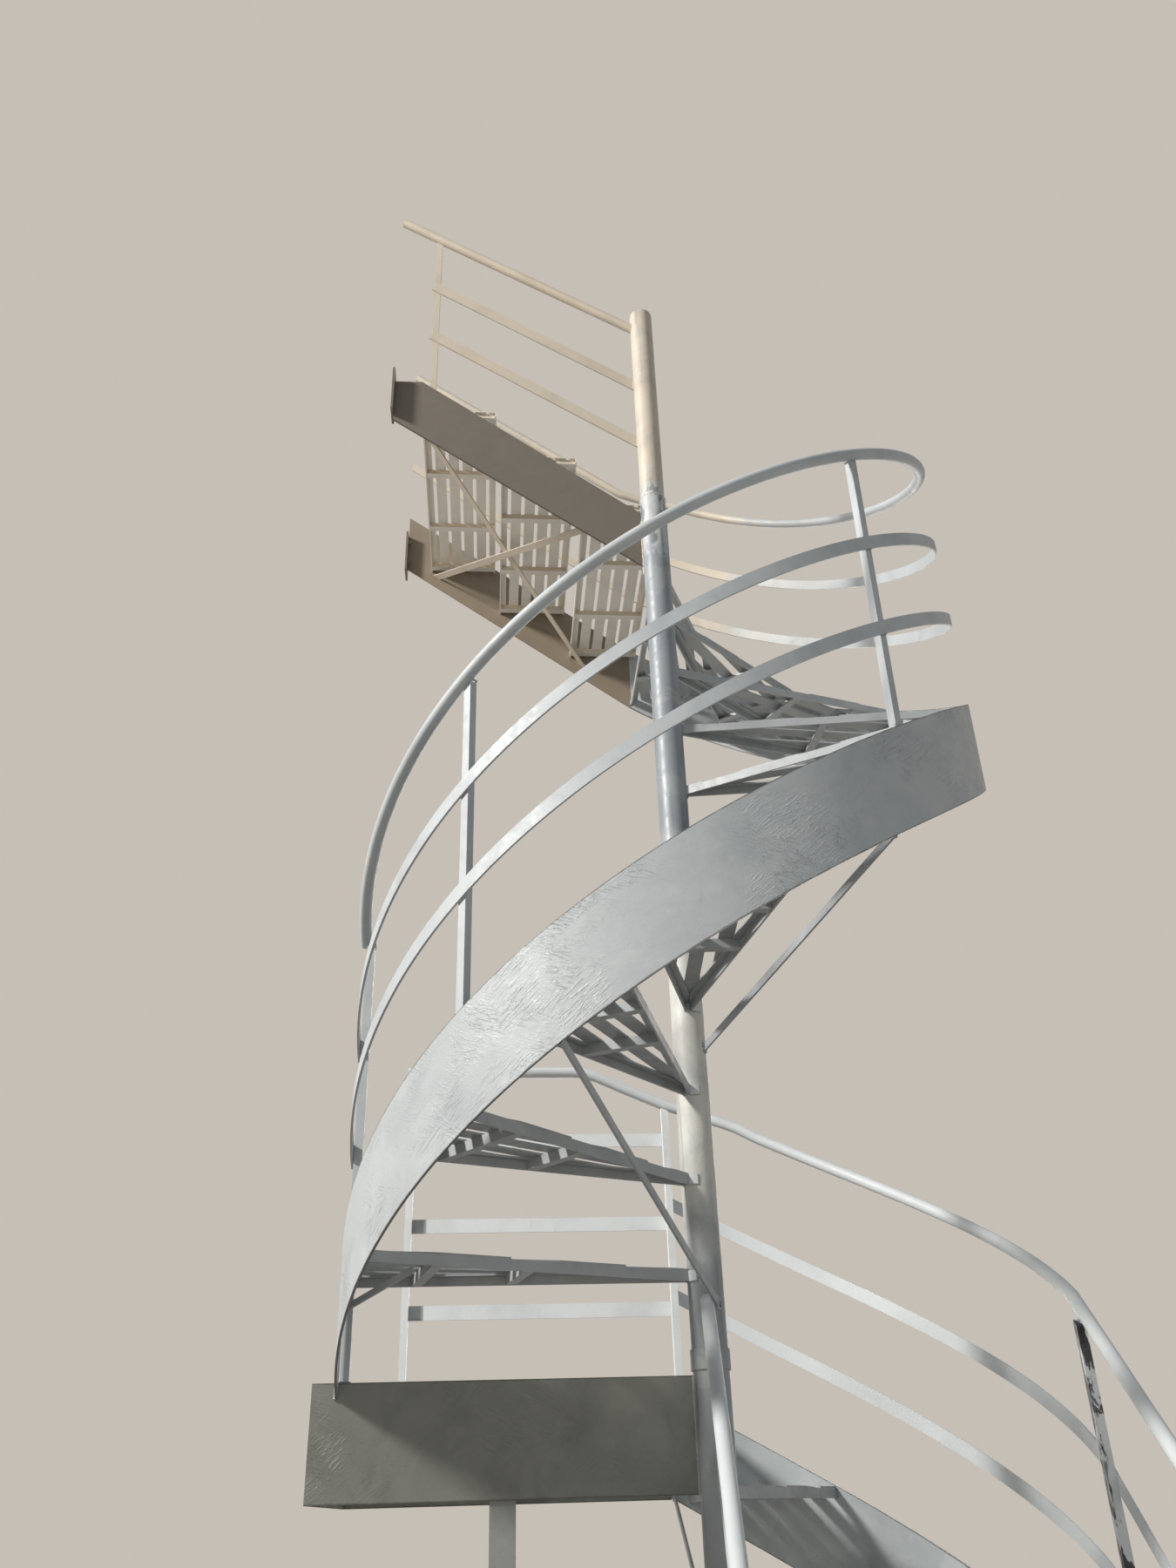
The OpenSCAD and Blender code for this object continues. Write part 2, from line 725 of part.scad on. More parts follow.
// Posts of the lower flight:
// [distance from the column axis, run down the flight, guard height, depth of the rail's underside]
inner_guard_h = lower_guard_h + 42;
lower_post_at = [
    [far_y - post_w, 60, lower_guard_h, swept_rail_under(stair_r - far_y)],
    [far_y - post_w, 1100, lower_guard_h, swept_rail_under(stair_r - far_y)],
    [near_y, 1100, inner_guard_h, round_rail_under(near_y)]
];
module lower_posts() {
    color(paint_grey)
        for (at = lower_post_at) {
            p = lower_run_station(at[0], at[1]);
            translate([p[0], p[1], 0])
                rotate([0, 0, lower_turn_az])
                    post(p[2] - post_lap, p[2] + at[2], lower_slope, at[3]);
        }
}
module inner_top_rail() {
    up = [0, 0, inner_guard_h];
    color(paint_grey)
        difference() {
            round_between(
                point(lower_run_station(0, 0)) + up, point(lower_run_station(0, lower_rail_run)) + up, rail_d
            );
            collar_room();
        }
}
module inner_flat_rails() {
    above_outer = 50;
    a = lower_run_station(0, 0);
    b = lower_run_station(0, lower_rail_run);
    color(paint_grey)
        difference() {
            for (h = [flat_high + above_outer, flat_low + above_outer])
                flat_between(point(a) + [0, 0, h], point(b) + [0, 0, h], flat_h, flat_t);
            collar_room();
        }
}

// Braces from the column out to the stringers' lower edges:
// [azimuth at the stringer, height there, azimuth at the column, height there]
function under_stringer(az) = spiral_nose_z(az) + stringer_lip - outer_plate_h + 10;
brace_w = 20;
brace_t = 6;
// Where the braces meet the column: above the landing, and the last one below it
low_brace_h = 157;
high_brace_h = 800;
landing_brace_drop = 620;
braces = [
    [243.7, under_stringer(243.7), 298, landing_z + low_brace_h],
    [295.5, under_stringer(295.5), 325, landing_z + high_brace_h],
    [89.5, landing_z - landing_plate_h + 10, 110, landing_z - landing_brace_drop]
];
module column_braces() {
    foot_w = 14;
    under_tread_1 = landing_z + spiral_lift + rise - slat_t - tread_angle;
    color(paint_grey)
        difference() {
            intersection() {
                union() {
                    for (b = braces)
                        flat_between(
                            around(column_r, b[2], b[3]), around(clear_r, b[0], b[1]),
                            brace_w, brace_t, brace_w
                        );
                    flat_between(
                        around(clear_r + brace_w, 188, under_tread_1 - 78),
                        around(clear_r * 0.87, 203.6, under_tread_1 - 8), foot_w, brace_t
                    );
                }
                cylinder(r = clear_r, h = 2 * beyond, $fn = 180);
            }
            collar_room();
        }
}
// Two flats crossed under the upper treads, in the plane of their back edges:
// [x at the near stringer, x at the far stringer]
upper_brace_x = [[-854, -185], [-166, -780]];
module upper_cross_braces() {
    w = 25;
    t = 5;
    tilt = atan(upper_slope);
    back_x = upper_nose_x - straight_tread_depth;
    plane_z = upper_first_z - upper_tread_drop - tread_angle + back_x * upper_slope;
    color(paint_cream)
        translate([0, 0, plane_z])
            rotate([0, tilt, 0])
                for (i = [0, 1])
                    translate([0, 0, -(i + 1) * (t + fit)])
                        linear_extrude(t)
                            intersection() {
                                strip(
                                    [upper_brace_x[i][0] / cos(tilt), near_y],
                                    [upper_brace_x[i][1] / cos(tilt), far_y], w
                                );
                                translate([-beyond, near_y]) square([2 * beyond, far_y - near_y]);
                            }
}
// Flat strip between two points of a plane, run on by its width at both ends
module strip(a, b, w) {
    v = b - a;
    translate(a)
        rotate(atan2(v[1], v[0]))
            translate([-w, -w / 2])
                square([norm(v) + 2 * w, w]);
}
// Bolt plates on the stringers' upper ends: their holes lie this far inside the stringers
cleat_hole_in = 24;
module balcony_cleats() {
    w = 80;
    h = 200;
    t = 8;
    hole_d = 14;
    drop = 260;
    color(paint_cream)
        for (at = [[0, cleat_hole_in], [stair_r, -cleat_hole_in]])
            translate([-upper_run - t - fit, at[0] - w / 2, upper_first_z + upper_steps * upper_rise - drop])
                difference() {
                    cube([t, w, h]);
                    for (z = [h / 4, 3 * h / 4])
                        translate([-1, w / 2 + at[1], z]) rotate([0, 90, 0]) cylinder(d = hole_d, h = t + 2);
                }
}

column_lower_pipe();
column_upper_pipe();
column_collar();
column_base_plate();
spiral_stringer();
upper_far_stringer();
upper_near_stringer();
spiral_tread_1();
spiral_tread_2();
spiral_tread_3();
spiral_tread_4();
spiral_tread_5();
spiral_tread_6();
spiral_tread_7();
spiral_tread_8();
spiral_tread_9();
spiral_tread_10();
spiral_tread_11();
upper_treads();
spiral_top_rail();
spiral_flat_rails();
spiral_posts();
near_top_rail();
near_flat_rails();
near_post();
landing_front_plate();
landing_side_plates();
landing_deck();
landing_legs();
landing_guard();
lower_top_rail();
lower_flat_rails();
lower_posts();
lower_curved_stringer();
lower_outer_stringer();
lower_inner_stringer();
lower_tread_1();
lower_tread_2();
lower_tread_3();
lower_straight_treads();
inner_top_rail();
inner_flat_rails();
column_braces();
upper_cross_braces();
balcony_cleats();
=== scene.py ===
# %% [markdown]
# # An outdoor spiral escape stair in painted steel
# The solids of the stair come from its CAD model. This script gives them their paint, their
# smooth rolled curves, their welds and bolts, and photographs them in a plain studio. A stair that
# has stood outdoors for years is never one colour: fresh cream paint covers the upper flight, a
# thick brushed grey covers the rest, and smudges, chips and drips show where someone was at work.

import math
import random

import bpy
from mathutils import Matrix, Vector


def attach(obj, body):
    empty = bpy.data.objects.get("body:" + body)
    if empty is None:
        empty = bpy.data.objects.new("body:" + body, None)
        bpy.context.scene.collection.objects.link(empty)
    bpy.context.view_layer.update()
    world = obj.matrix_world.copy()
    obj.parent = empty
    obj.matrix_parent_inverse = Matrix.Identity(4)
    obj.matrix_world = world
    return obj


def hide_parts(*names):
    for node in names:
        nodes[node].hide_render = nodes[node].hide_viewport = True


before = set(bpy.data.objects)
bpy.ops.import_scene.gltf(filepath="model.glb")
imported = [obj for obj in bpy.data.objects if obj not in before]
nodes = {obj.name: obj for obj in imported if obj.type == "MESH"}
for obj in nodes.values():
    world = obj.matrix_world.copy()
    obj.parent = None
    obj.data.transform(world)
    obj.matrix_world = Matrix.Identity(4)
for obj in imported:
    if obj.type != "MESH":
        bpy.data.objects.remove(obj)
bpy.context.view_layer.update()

# %% [markdown]
# ## The stair's own numbers
# Everything that follows a line of climb needs the stair's few sizes: the height of a step, the
# radius of the rolled plate and the angle of one wedge. They are written once, in metres and degrees
# round the column, so rails and welds land on the solids.

# %% Sizes
# Steps, and the rolled plates that carry them
RISE = 0.229
STEP_ANGLE, WINDER_ANGLE = 270 / 11, 27.5
STAIR_R = 0.886
PLATE, OUTER_PLATE = 0.006, 0.277
INNER_R = STAIR_R - PLATE / 2
# The spiral stands a little over even steps, and a plate's lip over the step noses
SPIRAL_LIFT, LIP = 0.010, 0.002
# The column's two pipes
COLUMN_R, UPPER_COLUMN_R = 0.0445, 0.0415
COLUMN_HEAD = 0.940
# The landing, the azimuth where the lower flight leaves it, and where that flight turns straight
LANDING_Z = 8 * RISE
LANDING_PLATE = 0.250
LANDING_EDGE, TURN = 86.5, -7
# The straight flights, and the near plate of the upper one
LOWER_SLOPE = RISE / 0.300
UPPER_RISE, UPPER_GOING = 0.211, 0.284
UPPER_RUN = 3.2 * UPPER_GOING
UPPER_SLOPE = UPPER_RISE / UPPER_GOING
UPPER_FIRST_Z = LANDING_Z + SPIRAL_LIFT + 12 * RISE
NEAR_DROP, NEAR_PLATE = 0.091, 0.232
# The guards
GUARD_H, RAIL_DIP, DIP_FROM = 0.889, 0.046, 435
LOWER_GUARD_H, LANDING_GUARD_H = 0.924, 1.015
FLAT_HIGH, FLAT_LOW, FLAT_H, FLAT_T = 0.573, 0.295, 0.042, 0.006
POST_W = 0.022
LOWER_RAIL_RUN = 1.150
RAIL_START = 178.4
# The hair's breadth that the solids leave between pieces
FIT = 0.0003
print("landing at", round(LANDING_Z, 3), "m, upper flight from", round(UPPER_FIRST_Z, 3), "m")

# %% [markdown]
# ## The lines of climb
# The two rolled stringers rise evenly with the angle round the column. These functions give the
# height of their top edges anywhere, and the places of the straight run that follows the winders.

# %% Lines of climb
def spiral_z(azimuth):
    """Height of the spiral stringer's top edge."""
    return LANDING_Z + SPIRAL_LIFT + RISE * (1 + (azimuth - 180) / STEP_ANGLE) + LIP


def winder_z(azimuth):
    """Height of the lower stringer's top edge along the winders."""
    return LANDING_Z - RISE * (LANDING_EDGE - azimuth) / WINDER_ANGLE + LIP


def around(radius, azimuth, z):
    angle = math.radians(azimuth)
    return Vector((radius * math.cos(angle), radius * math.sin(angle), z))


def lower_run(width, s, lift=0.0):
    """A point over the lower straight run, s down the flight, at width from the column's axis."""
    turn = math.radians(TURN)
    return Vector((
        width * math.cos(turn) + s * math.sin(turn),
        width * math.sin(turn) - s * math.cos(turn),
        winder_z(TURN) - LOWER_SLOPE * s + lift,
    ))


# Each wedge tread: the azimuths of its two edges and the height of its top
WEDGES = [(180 + (k - 1) * STEP_ANGLE, 180 + k * STEP_ANGLE, LANDING_Z + SPIRAL_LIFT + k * RISE)
          for k in range(1, 12)]
WEDGES += [(LANDING_EDGE - k * WINDER_ANGLE, LANDING_EDGE - (k - 1) * WINDER_ANGLE,
            LANDING_Z - k * RISE) for k in range(1, 4)]
print(len(WEDGES), "wedge treads")

# %% [markdown]
# ## Shader maths as plain expressions
# A material is easier to read as sums than as a web of nodes. One small class wraps a node's
# output, and its operators add Math nodes, so that `1 - mask` works as it reads. Colours never go
# through Math nodes, which would turn them grey: they are blended with Mix nodes.

# %% The socket class
class Socket:
    """An output socket of a material's node, on which sums are written with operators."""

    def __init__(self, tree, output):
        self.tree = tree
        self.output = output

    def maths(self, operation, first, second):
        return add_node(self.tree, "ShaderNodeMath", {"operation": operation}, {0: first, 1: second})

    def __add__(self, other):
        return self.maths("ADD", self, other)

    def __sub__(self, other):
        return self.maths("SUBTRACT", self, other)

    def __rsub__(self, other):
        return self.maths("SUBTRACT", other, self)

    def __mul__(self, other):
        return self.maths("MULTIPLY", self, other)

    def __abs__(self):
        return self.maths("ABSOLUTE", self, 0.0)

    __radd__ = __add__
    __rmul__ = __mul__


def add_node(tree, kind, settings=None, inputs=None, output=0):
    """Adds a node, sets what it is before what feeds it, and returns one of its outputs."""
    node = tree.nodes.new(kind)
    for key, value in (settings or {}).items():
        setattr(node, key, value)
    for key, value in (inputs or {}).items():
        if isinstance(value, Socket):
            tree.links.new(value.output, node.inputs[key])
        else:
            node.inputs[key].default_value = value
    return Socket(tree, node.outputs[output]) if len(node.outputs) else None


def srgb(red, green, blue):
    """A colour as seen on a screen, 0 to 255, as the linear colour that a shader takes."""
    def linear(c):
        c = c / 255
        return c / 12.92 if c <= 0.04045 else ((c + 0.055) / 1.055) ** 2.4
    return (linear(red), linear(green), linear(blue), 1)


# %% [markdown]
# ## Places, noises and masks
# Every mark on the paint is a noise on Object coordinates, cut by a ramp where it should have an
# edge. The CAD pieces share the stair's own frame, so the coordinates are metres from the column's
# foot, and a mark can be placed by height or by the angle round the column.

# %% Noise helpers
def object_place(tree, stretch=(1, 1, 1)):
    """Object coordinates, stretched so that a pattern can run along one way."""
    place = add_node(tree, "ShaderNodeTexCoord", output="Object")
    if stretch == (1, 1, 1):
        return place
    return add_node(tree, "ShaderNodeVectorMath", {"operation": "MULTIPLY"}, {0: place, 1: stretch})


def axis(tree, name):
    """One of the object's own coordinates, in metres."""
    return add_node(tree, "ShaderNodeSeparateXYZ", {}, {"Vector": object_place(tree)}, output=name)


def noise(tree, scale, detail=3.0, rough=0.55, stretch=(1, 1, 1), distort=0.0, place=None):
    return add_node(
        tree, "ShaderNodeTexNoise", {},
        {"Vector": place or object_place(tree, stretch), "Scale": scale, "Detail": detail,
         "Roughness": rough, "Distortion": distort},
        output="Fac",
    )


def ramp(tree, value, low, high, low_level=0.0, high_level=1.0):
    """A mask that goes from one level to another as the value passes from low to high."""
    return add_node(
        tree, "ShaderNodeMapRange", {"interpolation_type": "SMOOTHSTEP"},
        {"Value": value, "From Min": low, "From Max": high, "To Min": low_level, "To Max": high_level},
    )


def mix_colour(tree, mask, first, second):
    node = tree.nodes.new("ShaderNodeMix")
    node.data_type = "RGBA"
    for index, value in ((0, mask), (6, first), (7, second)):
        if isinstance(value, Socket):
            tree.links.new(value.output, node.inputs[index])
        else:
            node.inputs[index].default_value = value
    return Socket(tree, node.outputs[2])


# %% [markdown]
# ## A plate's own two ways
# The brush marks and the dark line of painted shade along a stringer's edges follow the plate, not
# the room. For a rolled plate the way along it is the angle round the column, found with an arc
# tangent, and its edges are where the height meets the line of climb. A flat plate uses one axis
# instead.

# %% Ways along a plate
def rolled_ways(z_at_zero, climb_per_degree, height=OUTER_PLATE):
    """Ways of a rolled plate: metres along it, and metres from its top and its bottom edge."""
    def ways(tree):
        angle = add_node(tree, "ShaderNodeMath", {"operation": "ARCTAN2"},
                         {0: axis(tree, "Y"), 1: axis(tree, "X")})
        above = axis(tree, "Z") - (angle * math.degrees(climb_per_degree) + z_at_zero)
        return angle * STAIR_R, [above, above + height]
    return ways


def flat_ways(name, edges):
    """Ways of a flat plate along one axis: each edge is its height at nought and its slope."""
    def ways(tree):
        along = axis(tree, name)
        return along, [axis(tree, "Z") - (along * slope + z) for z, slope in edges]
    return ways


def strokes(tree, along, turn, length, width):
    """Ridges left by a brush or a trowel, drawn out one way over a plate."""
    place = add_node(tree, "ShaderNodeCombineXYZ", {}, {"X": along, "Y": axis(tree, "Z")})
    turned = add_node(tree, "ShaderNodeVectorRotate", {"rotation_type": "Z_AXIS"},
                      {"Vector": place, "Angle": math.radians(turn)})
    drawn = add_node(tree, "ShaderNodeVectorMath", {"operation": "MULTIPLY"},
                     {0: turned, 1: (1 / length, 1 / width, 1)})
    return noise(tree, 1.0, 3, 0.6, distort=0.9, place=drawn)


# %% [markdown]
# ## The coat and its wear
# Brushed outdoor paint varies at four scales: a tone that drifts over a quarter of a metre, patches
# of a paler film with a clear edge, smears the size of a hand, and fine specks and drips of dirt.
# The lower undersides are darkened to the smudge colour as painted shade.

# %% Colour of the coat
def worn_colour(tree, base, smudge_and_underside_shade, smudge_share, film, film_share, dirt_and_edge_shade, dirt_share, streak):
    """Returns the coat's colour and the mask of its dirt."""
    cloud = ramp(tree, noise(tree, 4.2, 6, 0.62, distort=0.8), 0.42, 0.72)
    coat = mix_colour(tree, cloud * smudge_share, base, smudge_and_underside_shade)
    extra = ramp(tree, noise(tree, 8.5, 5, 0.6, distort=0.5), 0.56, 0.61)
    coat = mix_colour(tree, extra * film_share, coat, film)
    down = add_node(tree, "ShaderNodeSeparateXYZ", {}, {"Vector": add_node(
        tree, "ShaderNodeNewGeometry", output="Normal")}, output="Z")
    # Faces that look down take the smudge colour, less so higher up: painted shade under things.
    under = ramp(tree, down, -0.55, -0.85) * ramp(tree, axis(tree, "Z"), 3.1, 4.0, 0.65, 0.0)
    coat = mix_colour(tree, under, coat, smudge_and_underside_shade)
    smear = noise(tree, 13, 7, 0.70, stretch=(1, 1, 0.5), distort=1.6)
    dirty = ramp(tree, smear, 0.55, 0.80) * dirt_share
    if streak:
        run = noise(tree, 34, 4, 0.6, stretch=(1, 1, 0.05))
        dirty = dirty + ramp(tree, run, 0.56, 0.72) * streak
    dirty = dirty + ramp(tree, noise(tree, 110, 2, 0.5), 0.66, 0.76) * (0.35 * dirt_share)
    return mix_colour(tree, dirty, coat, dirt_and_edge_shade), dirty


# %% [markdown]
# The relief is counted in millimetres and handed to one Bump node: slow sags of thick paint and short
# brush marks everywhere. The big plates also have a fine stipple from the roller, and crossed strokes
# in patches where filler was smoothed by hand.

# %% Relief of the coat
def coat_relief(tree, along, relief, ridges):
    height = noise(tree, 17, 2, 0.5) * 0.9
    height = height + noise(tree, 58, 1, 0.5, stretch=(1, 1, 1.5), distort=1.2) * 0.28
    if along is not None:
        height = height + noise(tree, 190, 2, 0.5) * 0.07
        worked = ramp(tree, noise(tree, 3.6, 3, 0.6, distort=0.6), 0.44, 0.62)
        crossed = ramp(tree, noise(tree, 6.5, 2, 0.5), 0.48, 0.56)
        up = ramp(tree, strokes(tree, along, -38, 0.040, 0.0060), 0.45, 0.72)
        over = ramp(tree, strokes(tree, along, 24, 0.030, 0.0055), 0.45, 0.72)
        height = height + (up * crossed + over * (1 - crossed)) * worked * ridges
    return add_node(
        tree, "ShaderNodeBump", {}, {"Strength": 1.0, "Distance": 0.001, "Height": height * relief},
        output="Normal",
    )


# %% [markdown]
# ## One recipe for all the paint
# The finishes are one alkyd paint in different states, so one function makes them. What differs
# from place to place, such as cream that gives way to grey, comes in as a function that returns the
# colour, and a plate brings its own two ways for the strokes and the painted shade line along its
# edges.

# %% The paint recipe
def new_tree(name):
    material = bpy.data.materials.new(name)
    material.use_nodes = True
    tree = material.node_tree
    tree.nodes.clear()
    return material, tree


def make_paint(name, colour, smudge_and_underside_shade=(118, 125, 130), smudge_share=0.45, film=(206, 209, 208),
               film_share=0.20, dirt_and_edge_shade=(66, 66, 63), dirt_share=0.25, streak=0.0, relief=1.0,
               ridges=0.7, gloss=0.44, ways=None):
    """The colour is three numbers, or a function that returns it where it changes."""
    material, tree = new_tree(name)
    base = colour(tree) if callable(colour) else srgb(*colour)
    coat, dirty = worn_colour(tree, base, srgb(*smudge_and_underside_shade), smudge_share, srgb(*film), film_share,
                              srgb(*dirt_and_edge_shade), dirt_share, streak)
    along, edges = ways(tree) if ways else (None, [])
    # A dark line along each plate edge, in the dirt colour, is painted shade on the edge.
    for edge in edges:
        near_edge = ramp(tree, abs(edge) + noise(tree, 55, 3, 0.6) * 0.005, 0.0035, 0.0065, 0.75, 0.0)
        coat = mix_colour(tree, near_edge, coat, srgb(*dirt_and_edge_shade))
    normal = coat_relief(tree, along, relief, ridges)
    rough = ramp(tree, noise(tree, 30, 3, 0.6), 0.3, 0.7, gloss - 0.06, gloss + 0.10) + dirty * 0.25
    shader = add_node(
        tree, "ShaderNodeBsdfPrincipled", {},
        {"Base Color": coat, "Roughness": rough, "Normal": normal},
    )
    add_node(tree, "ShaderNodeOutputMaterial", {}, {"Surface": shader})
    return material


# %% [markdown]
# ## The grey finishes
# The grey is a cool light grey. The stringers have it thick and worked over, the treads thin and
# dirty from feet, and the guards clean, since hands keep them so. The landing's plates are a darker
# olive grey, which is painted shade, and the beads of the welds hold the most dirt.

# %% Grey finishes
GREY = (178, 183, 184)
spiral_ways = rolled_ways(spiral_z(360), RISE / STEP_ANGLE)
winder_ways = rolled_ways(winder_z(0), RISE / WINDER_ANGLE)
landing_ways = flat_ways("X", [(LANDING_Z, 0), (LANDING_Z - LANDING_PLATE, 0)])
spiral_grey = make_paint("spiral_grey", GREY, smudge_and_underside_shade=(138, 145, 150), smudge_share=0.35,
                         film_share=0.12, dirt_share=0.10, ridges=1.3, ways=spiral_ways)
winder_grey = make_paint("winder_grey", GREY, smudge_and_underside_shade=(138, 145, 150), dirt_share=0.15,
                         ways=winder_ways)
plate_grey = make_paint("plate_grey", (172, 177, 178), dirt_share=0.20)
# The treads' dark smudge colour also serves as their painted underside shade.
tread_grey = make_paint("tread_grey", (168, 172, 173), smudge_and_underside_shade=(98, 103, 106), smudge_share=0.36,
                        film=(188, 191, 190), film_share=0.20, dirt_share=0.28, relief=0.25)
brace_grey = make_paint("brace_grey", (168, 172, 174), smudge_and_underside_shade=(124, 130, 134), smudge_share=0.35,
                        film=(190, 193, 192), film_share=0.12, dirt_share=0.15, relief=0.15)
rail_white = make_paint("rail_white", (206, 210, 210), smudge_and_underside_shade=(168, 174, 177), smudge_share=0.30,
                        film=(214, 217, 216), film_share=0.12, dirt_share=0.12, relief=0.15, gloss=0.50)
# The landing's plates get a darker olive grey: painted shade.
landing_shaded_olive = make_paint("landing_shaded_olive", (124, 125, 118), smudge_and_underside_shade=(96, 97, 91), smudge_share=0.5,
                           film=(142, 143, 134), film_share=0.15, ways=landing_ways)
leg_grey = make_paint("leg_grey", (146, 148, 144), smudge_and_underside_shade=(104, 106, 103), streak=0.3, relief=0.8)
weld_grey = make_paint("weld_grey", (170, 174, 175), smudge_and_underside_shade=(104, 108, 110), smudge_share=0.7,
                       dirt_share=0.6, relief=0.5)
print("materials so far:", [m.name for m in bpy.data.materials])

# %% [markdown]
# ## The cream finishes
# The cream on the upper flight was brushed on lately: it is even, with a soft gloss. The flight's two
# big plates are a darker taupe, which is painted shade. The treads have pale slats between cream
# bars, and which is which is told from the way a surface faces; the flat faces are also paler as
# painted light from below.

# %% Cream finishes
CREAM = (200, 189, 172)
cream = make_paint("cream", CREAM, smudge_and_underside_shade=(168, 157, 140), smudge_share=0.35, film=(208, 200, 187),
                   film_share=0.10, dirt_and_edge_shade=(110, 98, 82), dirt_share=0.12, relief=0.15, gloss=0.48)
near_ways = flat_ways("X", [(UPPER_FIRST_Z - NEAR_DROP - NEAR_PLATE, -UPPER_SLOPE)])
# The flight's two plates, the cleats and the balcony's bolts get a darker taupe: painted shade.
shaded_taupe = make_paint("shaded_taupe", (112, 105, 95), smudge_and_underside_shade=(96, 90, 81), smudge_share=0.35,
                   film=(122, 115, 105), film_share=0.15, dirt_and_edge_shade=(66, 61, 53), dirt_share=0.12,
                   relief=0.7, ridges=0.3, ways=near_ways)
far_shaded_taupe = make_paint("far_shaded_taupe", (134, 122, 105), smudge_and_underside_shade=(114, 104, 89), smudge_share=0.35,
                       film=(144, 133, 116), film_share=0.15, dirt_and_edge_shade=(74, 67, 57), dirt_share=0.15,
                       relief=0.7)


def slat_colour(tree):
    """Greyish slats, which lie flat, between cream bars, which stand upright; the flat faces are paler,
    partly the slats' own paint and partly painted light from below.
    """
    facing = add_node(tree, "ShaderNodeSeparateXYZ", {}, {"Vector": add_node(
        tree, "ShaderNodeNewGeometry", output="Normal")}, output="Z")
    # Faces that lie flat get the paler colour: partly the slats' own paint, partly painted light on the
    # undersides.
    flat = ramp(tree, abs(facing), 0.4, 0.7)
    return mix_colour(tree, flat, srgb(216, 203, 181), srgb(228, 224, 216))


slat_cream = make_paint("slat_cream", slat_colour, smudge_and_underside_shade=(190, 186, 176), smudge_share=0.30,
                        film=(230, 226, 218), film_share=0.15, dirt_and_edge_shade=(120, 114, 104), dirt_share=0.15,
                        relief=0.15)
print("cream finishes:", cream.name, shaded_taupe.name, slat_cream.name)

# %% [markdown]
# ## Paint that changes along the way
# The guard's rails are cream by the upper flight and turn grey a little way down the spiral, with
# a rubbed stretch between. The mask is the place across the stair, broken up by noise, so it is a
# brush's ragged edge and not a ruled line.

# %% Rails that turn from cream to grey
def rail_colour(tree):
    """Cream towards the upper flight, then rubbed in specks, then grey."""
    across = axis(tree, "X") + noise(tree, 9, 4, 0.6) * 0.30
    wall_side = ramp(tree, axis(tree, "Y"), 0.20, 0.45)
    creamy = ramp(tree, across, 0.63, 0.55) * wall_side
    speckle = ramp(tree, noise(tree, 75, 5, 0.7), 0.46, 0.58)
    rubbed = ramp(tree, across, 0.95, 0.68) * wall_side * speckle
    specked = mix_colour(tree, rubbed * 0.8, srgb(184, 189, 191), srgb(*CREAM))
    return mix_colour(tree, creamy, specked, srgb(*CREAM))


guard_paint = make_paint("guard_paint", rail_colour, smudge_and_underside_shade=(138, 145, 149), smudge_share=0.35,
                         film=(206, 209, 208), film_share=0.12, dirt_share=0.15, relief=0.15,
                         gloss=0.50)

# %% [markdown]
# ## The column's states
# The column's coat changes on the way up: grey at the foot, then a lighter band that is painted
# sunlight, a bluer grey above that, the greys being partly the pipe's own paint and partly painted
# shade, and fresh cream at the top, over a chipped band at the joint of the pipes.
# Each change is a height with noise added, so that it runs round the pipe as a ragged line.

# %% Column finish
def column_colour(tree):
    """From the foot up, with the heights in metres."""
    height = axis(tree, "Z")
    ragged = height + noise(tree, 14, 4, 0.6) * 0.22
    # The light band between the greys is painted sunlight; the greys are partly painted shade.
    middle = mix_colour(tree, ramp(tree, ragged, 2.15, 2.40), srgb(150, 155, 157), srgb(208, 207, 200))
    middle = mix_colour(tree, ramp(tree, ragged, 3.18, 3.45), middle, srgb(142, 148, 153))
    chips = ramp(tree, noise(tree, 24, 4, 0.6, stretch=(1, 1, 0.5)), 0.50, 0.56)
    band = ramp(tree, ragged, 4.42, 4.52) * ramp(tree, ragged, 4.86, 4.76)
    chipped = mix_colour(tree, chips, srgb(206, 208, 206), srgb(124, 130, 133))
    below = mix_colour(tree, band * 0.85, middle, chipped)
    return mix_colour(tree, ramp(tree, ragged, 4.72, 4.80), below, srgb(*CREAM))


column_paint = make_paint("column_paint", column_colour, smudge_and_underside_shade=(118, 125, 129), smudge_share=0.45,
                          film=(192, 195, 194), dirt_and_edge_shade=(84, 87, 88), dirt_share=0.30, streak=0.40,
                          relief=0.9)

# %% [markdown]
# ## Paint that peels
# One post of the lower flight has lost its paint in long flakes, and the black coat under it shows.
# The landing's guard bars end in grey stretches, which are a painted shadow. Both are picked
# out by where they are.

# %% Peeling paint and a painted shadow
def peeling_colour(tree):
    flake = noise(tree, 26, 6, 0.65, stretch=(1, 1, 0.30), distort=0.8)
    x = axis(tree, "X") + noise(tree, 5, 2, 0.5) * 0.1
    lost = ramp(tree, flake, 0.50, 0.54) * ramp(tree, x, 0.55, 0.72)
    return mix_colour(tree, lost, srgb(200, 204, 204), srgb(34, 35, 36))


def bar_end_shadow_colour(tree):
    # The bars' ends by the post are grey: a painted shadow.
    end_shadow = ramp(tree, axis(tree, "X"), -0.733, -0.736) * ramp(tree, axis(tree, "Y"), 0.8822, 0.8826)
    return mix_colour(tree, end_shadow, srgb(226, 229, 228), srgb(160, 163, 162))


peeling = make_paint("peeling", peeling_colour, smudge_and_underside_shade=(150, 156, 159), smudge_share=0.3, relief=0.6)
white_with_end_shadow = make_paint("white_with_end_shadow", bar_end_shadow_colour, smudge_and_underside_shade=(178, 183, 185), smudge_share=0.3,
                          film=(230, 232, 231), dirt_share=0.15, relief=0.2)
print(len(bpy.data.materials), "materials so far")

